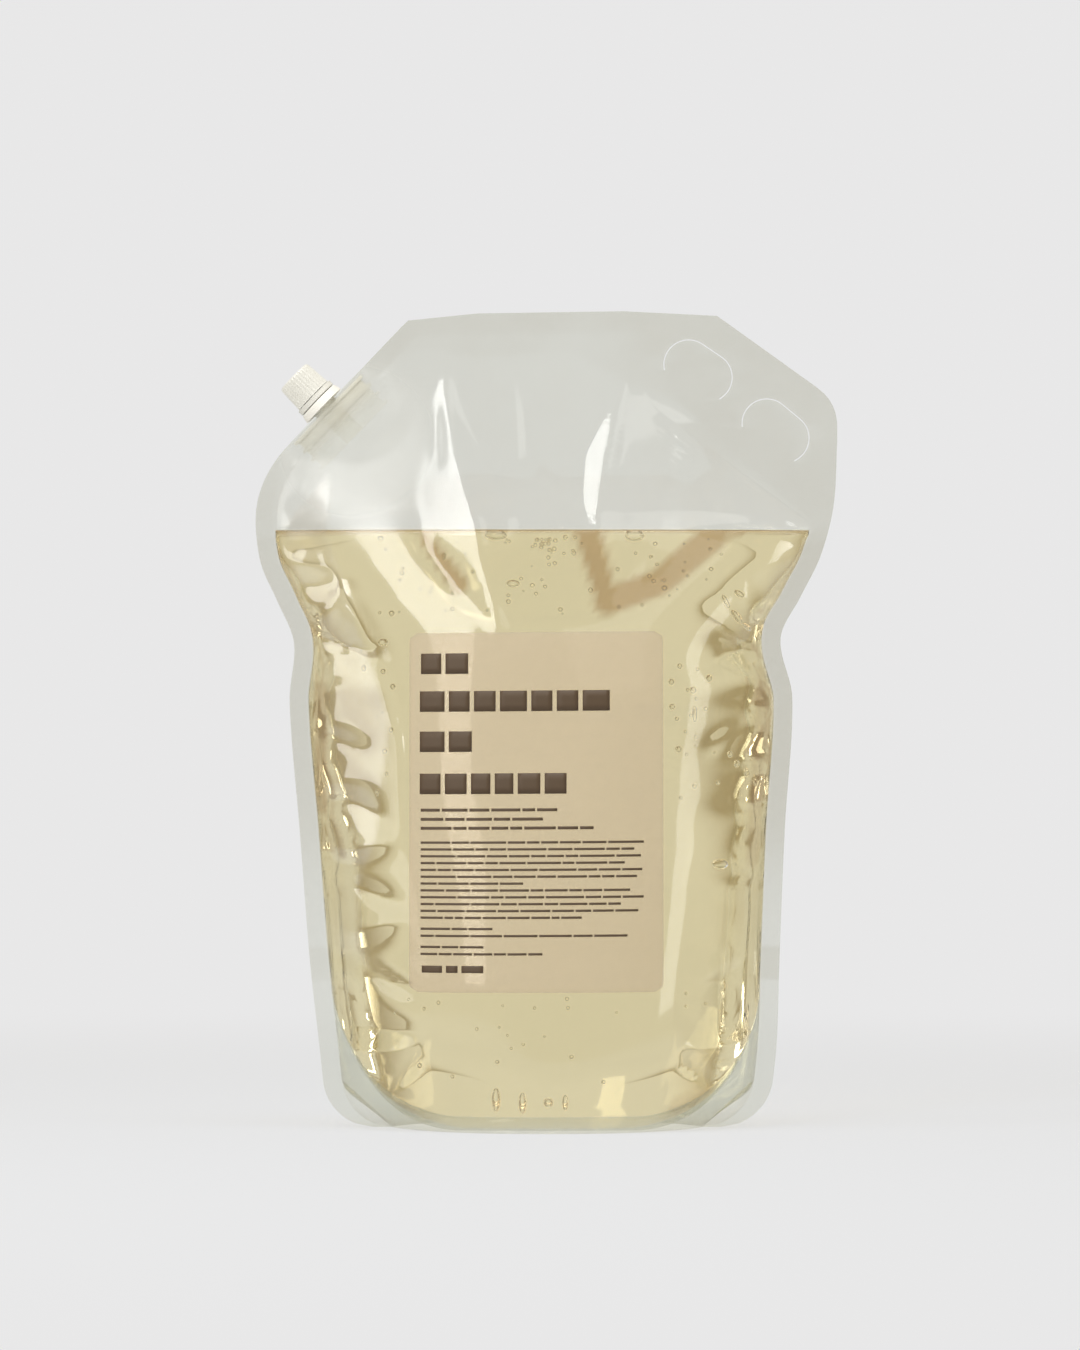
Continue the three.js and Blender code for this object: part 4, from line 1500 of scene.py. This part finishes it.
# Painted shade in the liquid: darker strokes along its folds and near the side seals.
PAINTED_SHADE_STROKES = (
    Stroke((-45.5, 221.0), (-32.5, 203.0), 2.8, 4.6, 0.85),
    Stroke((15.5, 222.0), (22.5, 196.0), 6.5, 5.0, 0.9),
    Stroke((22.5, 196.0), (42.0, 203.0), 6.5, 6.5, 0.9),
    Stroke((42.0, 203.0), (62.0, 220.0), 6.5, 7.0, 0.85),
    Stroke((60.0, 220.0), (72.0, 221.0), 5.0, 2.0, 0.6),
    Stroke((-84.0, 120.0), (-84.0, 165.0), 3.0, 3.5, 0.6),
    Stroke((-101.0, 216.0), (-88.0, 186.0), 2.0, 3.4, 0.45),
    Stroke((97.0, 216.0), (82.0, 186.0), 2.0, 3.0, 0.35),
    Stroke((80.5, 170.0), (77.0, 100.0), 2.6, 3.4, 0.4),
    Stroke((-70.0, 14.0), (-52.0, 7.0), 3.0, 4.0, 0.35),
    Stroke((48.0, 9.0), (66.0, 15.0), 4.0, 3.0, 0.35),
)


@dataclass
class Contents:
    """The shampoo and the air bubbles in it."""

    palette: Palette
    clear: float = 0.25
    depth_cells: int = 22
    gusset_rows: int = 16
    rim: float = 1.1
    rim_reach: float = 1.0
    surface_painted_shade: float = 0.9
    round_depth: float = 3.4
    small: float = 2.0

    def edge_shares(self) -> np.ndarray:
        """Shares of the cavity's width at the liquid's columns, which stop short of the seal.

        Returns:
            The shares, from left to right.
        """
        shares = WEBS.shares.copy()
        shares[0] = 0.1 * shares[1] + 0.9 * shares[0]
        shares[-1] = 0.1 * shares[-2] + 0.9 * shares[-1]
        return shares

    def liquid(self) -> bpy.types.Object:
        """Build the liquid between the films, over the gusset and up to its surface.

        Returns:
            The liquid.
        """
        share = self.edge_shares()[:, None, None]
        t = np.linspace(-1.0, 1.0, self.depth_cells + 1)
        across = np.sin(np.pi / 2 * t)[None, :, None]
        weld = FORM.weld_height(share)
        bottom = weld - FORM.sag(share, across) + 0.2 + 0.5
        start = FORM.gusset_rise + 2.0
        above = WEBS.rows[(WEBS.rows > start) & (WEBS.rows < FORM.fill - 1.5)]
        low = bottom + (start - bottom) * np.linspace(0.0, 1.0, self.gusset_rows + 1)
        above = np.append(above, (FORM.fill - 0.5, FORM.fill))
        high = np.broadcast_to(above, (*low.shape[:2], len(above)))
        z = np.concatenate([low, high], axis=2)
        x = WEBS.x_at(share, z)
        front = np.maximum(WEBS.wall(Face.FRONT, x, z) - self.clear, 0.05)
        back = np.maximum(WEBS.wall(Face.BACK, x, z) - self.clear, 0.05)
        y = np.where(across < 0, across * front, across * back)
        points = leaned(x, y, z)
        points[..., 2] = np.where(z >= FORM.fill - 1e-6, FORM.fill, np.minimum(points[..., 2], FORM.fill - 0.5))
        away = np.minimum(front[..., -1] + y[..., -1], back[..., -1] - y[..., -1])
        rise = self.rim * np.exp(-np.maximum(away, 0.0) / self.rim_reach)
        points[:, :, -1, 2] += rise
        # Painted shade: the strokes on the front half, and a dark line along the liquid's surface.
        shade = np.zeros_like(x)
        for stroke in PAINTED_SHADE_STROKES:
            shade = np.maximum(shade, stroke.shade(x, z))
        shade = np.where(across < 0, shade, 0.0)
        shade[:, :, -1] = self.surface_painted_shade
        piece = block_mesh("liquid", points, {"painted_shade": shade})
        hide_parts("shampoo_fill")
        return dress(piece, self.palette.liquid)

    def bubbles(self) -> bpy.types.Object:
        """Build the bubbles just behind the liquid's front face.

        Returns:
            The bubbles, as one piece.
        """
        rounds = []
        for spot in (*BUBBLES, *scattered()):
            deep = min(spot.width, spot.height, self.round_depth) / 2
            near = float(WEBS.wall(Face.FRONT, np.array([spot.x]), np.array([spot.z]))[0])
            y = -(near - self.clear - deep - spot.depth)
            small = spot.width < self.small
            bpy.ops.object.select_all(action="DESELECT")
            bpy.ops.mesh.primitive_uv_sphere_add(
                segments=14 if small else 28,
                ring_count=8 if small else 16,
                radius=1.0,
                location=(spot.x * MM, y * MM, spot.z * MM),
            )
            ball = bpy.context.object
            ball.scale = (spot.width / 2 * MM, deep * MM, spot.height / 2 * MM)
            ball.rotation_euler = (0.0, spot.turn, 0.0)
            rounds.append(ball)
        for ball in rounds:
            ball.select_set(True)
        bpy.context.view_layer.objects.active = rounds[0]
        bpy.ops.object.join()
        bpy.ops.object.transform_apply(location=True, rotation=True, scale=True)
        bpy.ops.object.shade_smooth()
        piece = bpy.context.object
        piece.name = "bubbles"
        LOG.info("bubbles: %d", len(rounds))
        return dress(piece, self.palette.air)

    def build(self) -> None:
        """Build the liquid and its bubbles."""
        self.liquid()
        self.bubbles()


@dataclass(frozen=True)
class PrintRow:
    """A row of bars on the label, in millimetres in the row frame."""

    left: float
    right: float
    z: float
    height: float
    words: int


@dataclass
class Label:
    """The label on the front film, with generic bars in place of print."""

    palette: Palette
    left: float = -50.8
    right: float = 43.2
    bottom: float = 52.0
    top: float = 185.0
    radius: float = 3.2
    off_film: float = 0.45
    thickness: float = 0.1
    ink: tuple[float, float] = (0.02, 0.05)
    large: float = 4.0

    def surface(self, x: np.ndarray, z: np.ndarray, off: np.ndarray) -> np.ndarray:
        """Points at a distance in front of the front film's inner face."""
        y = -(WEBS.wall(Face.FRONT, x, z) + off)
        return leaned(x, y, z)

    def sheet(self) -> bpy.types.Object:
        """Build the label's sheet with its rounded corners.

        Returns:
            The sheet.
        """
        z = np.linspace(self.bottom, self.top, 72)
        near = np.minimum(np.minimum(z - self.bottom, self.top - z), self.radius)
        cut = self.radius - np.sqrt(self.radius**2 - (self.radius - near) ** 2)
        t = np.linspace(0.0, 1.0, 56)[:, None]
        x = (self.left + cut) + (self.right - self.left - 2 * cut) * t
        x, z = x[:, None, :], z[None, None, :]
        off = np.array([self.off_film, self.off_film + self.thickness])[None, :, None]
        piece = block_mesh("label_sheet", self.surface(x, z, off))
        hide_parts("label")
        return dress(piece, self.palette.label)

    def rows(self) -> list[PrintRow]:
        """Rows of bars: four large ones, three middle ones and the small lines below.

        Returns:
            The rows from top to bottom.
        """
        rows = [
            PrintRow(-46.5, -27.4, 173.5, 7.6, 2),
            PrintRow(-46.9, 25.0, 159.5, 7.6, 7),
            PrintRow(-46.9, -26.0, 144.6, 7.6, 2),
            PrintRow(-46.9, 9.0, 129.0, 7.6, 6),
            PrintRow(-46.5, 4.7, 119.3, 1.1, 6),
            PrintRow(-46.5, -0.6, 115.9, 1.1, 5),
            PrintRow(-46.5, 18.1, 112.6, 1.1, 8),
        ]
        ends = (36.6, 33.0, 35.5, 29.5, 36.0, 34.0, -8.0, 31.5, 36.5, 28.0, 34.5, 13.6)
        for i, right in enumerate(ends):
            rows.append(PrintRow(-46.5, right, 107.3 - 2.52 * i, 0.85, 9 if right > 0 else 4))
        for right, z in ((-19.3, 75.5), (30.5, 72.9), (-22.6, 68.8), (-0.9, 66.2)):
            rows.append(PrintRow(-46.5, right, z, 0.85, 3 if right < -10 else 7))
        rows.append(PrintRow(-46.1, -21.9, 60.6, 2.6, 3))
        return rows

    def bar(self, name: str, left: float, right: float, z: float, height: float) -> bpy.types.Object:
        """Build one bar on the label.

        Args:
            name: Name of the bar.
            left: Its left end.
            right: Its right end.
            z: Height of its middle.
            height: Its height.

        Returns:
            The bar.
        """
        cells = max(2, int((right - left) / 1.6))
        x = np.linspace(left, right, cells + 1)[:, None, None]
        levels = np.linspace(z - height / 2, z + height / 2, 4)[None, None, :]
        base = self.off_film + self.thickness
        off = (base + np.array(self.ink))[None, :, None]
        return block_mesh(name, self.surface(x, levels, off))

    def bars(self) -> bpy.types.Object:
        """Build all bars and join them.

        Returns:
            The bars, as one piece.
        """
        rng = np.random.default_rng(11)
        bars = []
        for row in self.rows():
            spread = 0.12 if row.height > self.large else 0.5
            cuts = np.cumsum(rng.uniform(1.0 - spread, 1.0 + spread, row.words))
            cuts = np.concatenate([[0.0], cuts / cuts[-1]])
            space = 1.6 if row.height > self.large else 0.45 * row.height + 0.25
            for a, b in zip(cuts[:-1], cuts[1:]):
                left = row.left + (row.right - row.left) * a
                right = row.left + (row.right - row.left) * b - space
                if right - left > 0.5:
                    bars.append(self.bar(f"bar_{len(bars)}", left, right, row.z, row.height))
        bpy.ops.object.select_all(action="DESELECT")
        for piece in bars:
            piece.select_set(True)
        bpy.context.view_layer.objects.active = bars[0]
        bpy.ops.object.join()
        piece = bpy.context.object
        piece.name = "print_bars"
        return dress(piece, self.palette.ink)

    def build(self) -> None:
        """Build the label and its bars."""
        self.sheet()
        self.bars()


@dataclass
class Closure:
    """The spout, tamper band and cap, which are the CAD pieces with their finish."""

    palette: Palette

    def build(self) -> None:
        """Give each CAD piece its plastic."""
        finishes = {
            "spout": self.palette.natural,
            "tamper_band": self.palette.plastic,
            "screw_cap": self.palette.plastic,
        }
        for name, material in finishes.items():
            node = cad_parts[name]
            node.data.materials.clear()
            node.data.materials.append(material)
            LOG.info("%s: %d faces", name, len(node.data.polygons))


PALE: Colour = (0.807, 0.807, 0.807)
ROOM: Colour = (0.44, 0.385, 0.29)


@dataclass(frozen=True)
class StageTone:
    """The stage's colour: pale to the camera, and the room's colour far off for bent rays.

    Attributes:
        span: Distances from the middle, across, where the dimming starts and ends, in metres.
        dims_mirrors: Whether mirror rays see the room's colour everywhere.
    """

    span: tuple[float, float]
    dims_mirrors: bool

    def glow(self, tree: NodeTree) -> bpy.types.Node:
        """Add the glow to a material, which isn't sampled as a lamp.

        Args:
            tree: The material's tree.

        Returns:
            The Emission shader.
        """
        amount = tree.ramp(tree.math("ABSOLUTE", tree.axes().outputs["X"]), self.span)
        if self.dims_mirrors:
            other = tree.math("SUBTRACT", 1.0, tree.ray("Transmission"))
            amount = tree.math("MAXIMUM", amount, other)
        unseen = tree.math("SUBTRACT", 1.0, tree.ray("Camera"))
        glow = tree.nodes.new("ShaderNodeEmission")
        tree.links.new(tree.tint(tree.math("MULTIPLY", amount, unseen), PALE, ROOM), glow.inputs["Color"])
        tree.material.cycles.emission_sampling = "NONE"
        return glow


@dataclass(frozen=True)
class FloorFinish:
    """Pale ground that shows an even tone, takes a soft shadow and lights the pack plainly.

    Attributes:
        tone: What the camera and bent rays see.
        matte: Colour of the part that the lamps light, as a share of the pale tone.
        matte_share: Share of that part at the pack and far from it.
        matte_reach: Distances from the middle for those two shares, in metres.
        plain: Colour that lights the pack from below.
    """

    tone: StageTone = StageTone((0.36, 1.15), False)
    matte: Colour = (0.86, 0.92, 1.0)
    matte_share: tuple[float, float] = (0.24, 0.0)
    matte_reach: tuple[float, float] = (0.25, 1.1)
    plain: Colour = (0.6, 0.6, 0.6)
    roughness: float = 0.9

    def material(self) -> bpy.types.Material:
        """Build the material.

        Returns:
            The material.
        """
        tree = NodeTree("floor_pale", PALE)
        tone = tuple(pale * part for pale, part in zip(PALE, self.matte))
        matte = tree.principled(tone, self.roughness, Specular_IOR_Level=0.0)
        away = tree.vector("DISTANCE", (0.0, 0.0, 0.0))
        share = tree.ramp(away, self.matte_reach, self.matte_share)
        shown = tree.mix(share, self.tone.glow(tree), matte)
        plain = tree.principled(self.plain, self.roughness, Specular_IOR_Level=0.0)
        seen = tree.math("MAXIMUM", tree.ray("Camera"), tree.ray("Glossy"))
        seen = tree.math("MAXIMUM", seen, tree.ray("Transmission"))
        return tree.finish(tree.mix(seen, plain, shown))


@dataclass(frozen=True)
class WallFinish:
    """Evenly pale wall."""

    tone: StageTone = StageTone((1.3, 3.1), True)

    def material(self) -> bpy.types.Material:
        """Build the material."""
        tree = NodeTree("wall_pale", PALE)
        return tree.finish(self.tone.glow(tree))


@dataclass(frozen=True)
class Lamp:
    """An area light that faces the pack, in metres and watts."""

    name: str
    place: tuple[float, float, float]
    size: tuple[float, float]
    power: float

    def add(self, target: Vector) -> None:
        """Add the light, turned to its target.

        Args:
            target: Point that the light faces.
        """
        data = bpy.data.lights.new(self.name, "AREA")
        data.shape = "RECTANGLE"
        data.size, data.size_y = self.size
        data.energy = self.power
        lamp = bpy.data.objects.new(self.name, data)
        lamp.location = self.place
        lamp.rotation_euler = (target - Vector(self.place)).to_track_quat("-Z", "Y").to_euler()
        bpy.context.scene.collection.objects.link(lamp)


@dataclass
class Studio:
    """Round floor, surrounding wall, lights and camera, in metres."""

    radius: float = 4.5
    wall_height: float = 12.0
    segments: int = 96
    target: tuple[float, float, float] = (0.0, 0.0, 0.16)
    lamps: tuple[Lamp, ...] = (
        Lamp("key", (-0.72, -1.55, 1.0), (0.42, 1.8), 13.0),
        Lamp("fill", (1.5, -1.0, 0.5), (0.3, 0.9), 2.2),
        Lamp("side", (-1.45, -0.6, 0.75), (0.85, 1.3), 5.5),
        Lamp("front", (0.9, -2.7, 1.5), (1.2, 1.0), 3.0),
        Lamp("top", (0.0, -0.3, 1.7), (1.2, 0.6), 13.0),
    )
    camera_distance: float = 3.0
    camera_offset: float = -0.0024
    camera_height: float = 0.169
    view_height: float = 0.5049
    sensor: float = 36.0

    def ground(self) -> None:
        """Add the floor and the wall round it."""
        bpy.ops.object.select_all(action="DESELECT")
        bpy.ops.mesh.primitive_circle_add(vertices=self.segments, radius=self.radius, fill_type="NGON")
        floor = bpy.context.object
        floor.name = "floor"
        floor.data.materials.append(FloorFinish().material())
        bpy.ops.mesh.primitive_cylinder_add(
            vertices=self.segments,
            radius=self.radius,
            depth=self.wall_height,
            end_fill_type="NOTHING",
        )
        wall = bpy.context.object
        wall.name = "wall"
        wall.data.materials.append(WallFinish().material())

    def camera(self) -> None:
        """Add the camera, level with the middle of the picture."""
        data = bpy.data.cameras.new("camera")
        data.sensor_fit = "VERTICAL"
        data.sensor_height = self.sensor
        data.lens = self.sensor * self.camera_distance / self.view_height
        data.clip_end = 50.0
        eye = bpy.data.objects.new("camera", data)
        eye.location = (self.camera_offset, -self.camera_distance, self.camera_height)
        eye.rotation_euler = Euler((math.pi / 2, 0.0, 0.0))
        bpy.context.scene.collection.objects.link(eye)
        bpy.context.scene.camera = eye

    def build(self) -> None:
        """Build the stage, the lights, the world and the camera."""
        self.ground()
        for lamp in self.lamps:
            lamp.add(Vector(self.target))
        world = bpy.data.worlds.new("studio")
        world.use_nodes = True
        world.node_tree.nodes["Background"].inputs["Color"].default_value = (*ROOM, 1.0)
        bpy.context.scene.world = world
        self.camera()
        LOG.info("studio: %d lamps", len(self.lamps))


def render_settings() -> None:
    """Set what a see-through object needs: plain colours, denoising and enough bounces."""
    scene = bpy.context.scene
    scene.view_settings.view_transform = "Standard"
    scene.cycles.use_denoising = True
    scene.cycles.denoising_input_passes = "RGB_ALBEDO"
    scene.cycles.max_bounces = 24
    scene.cycles.transmission_bounces = 16
    scene.cycles.transparent_max_bounces = 32
    scene.cycles.glossy_bounces = 14
    scene.cycles.caustics_refractive = True


def main() -> None:
    """Build the whole picture."""
    logging.basicConfig(level=logging.INFO, format="%(message)s")
    palette = Palette()
    Pouch(palette).build()
    Contents(palette).build()
    Label(palette).build()
    Closure(palette).build()
    Studio().build()
    render_settings()


if __name__ == "__main__":
    main()
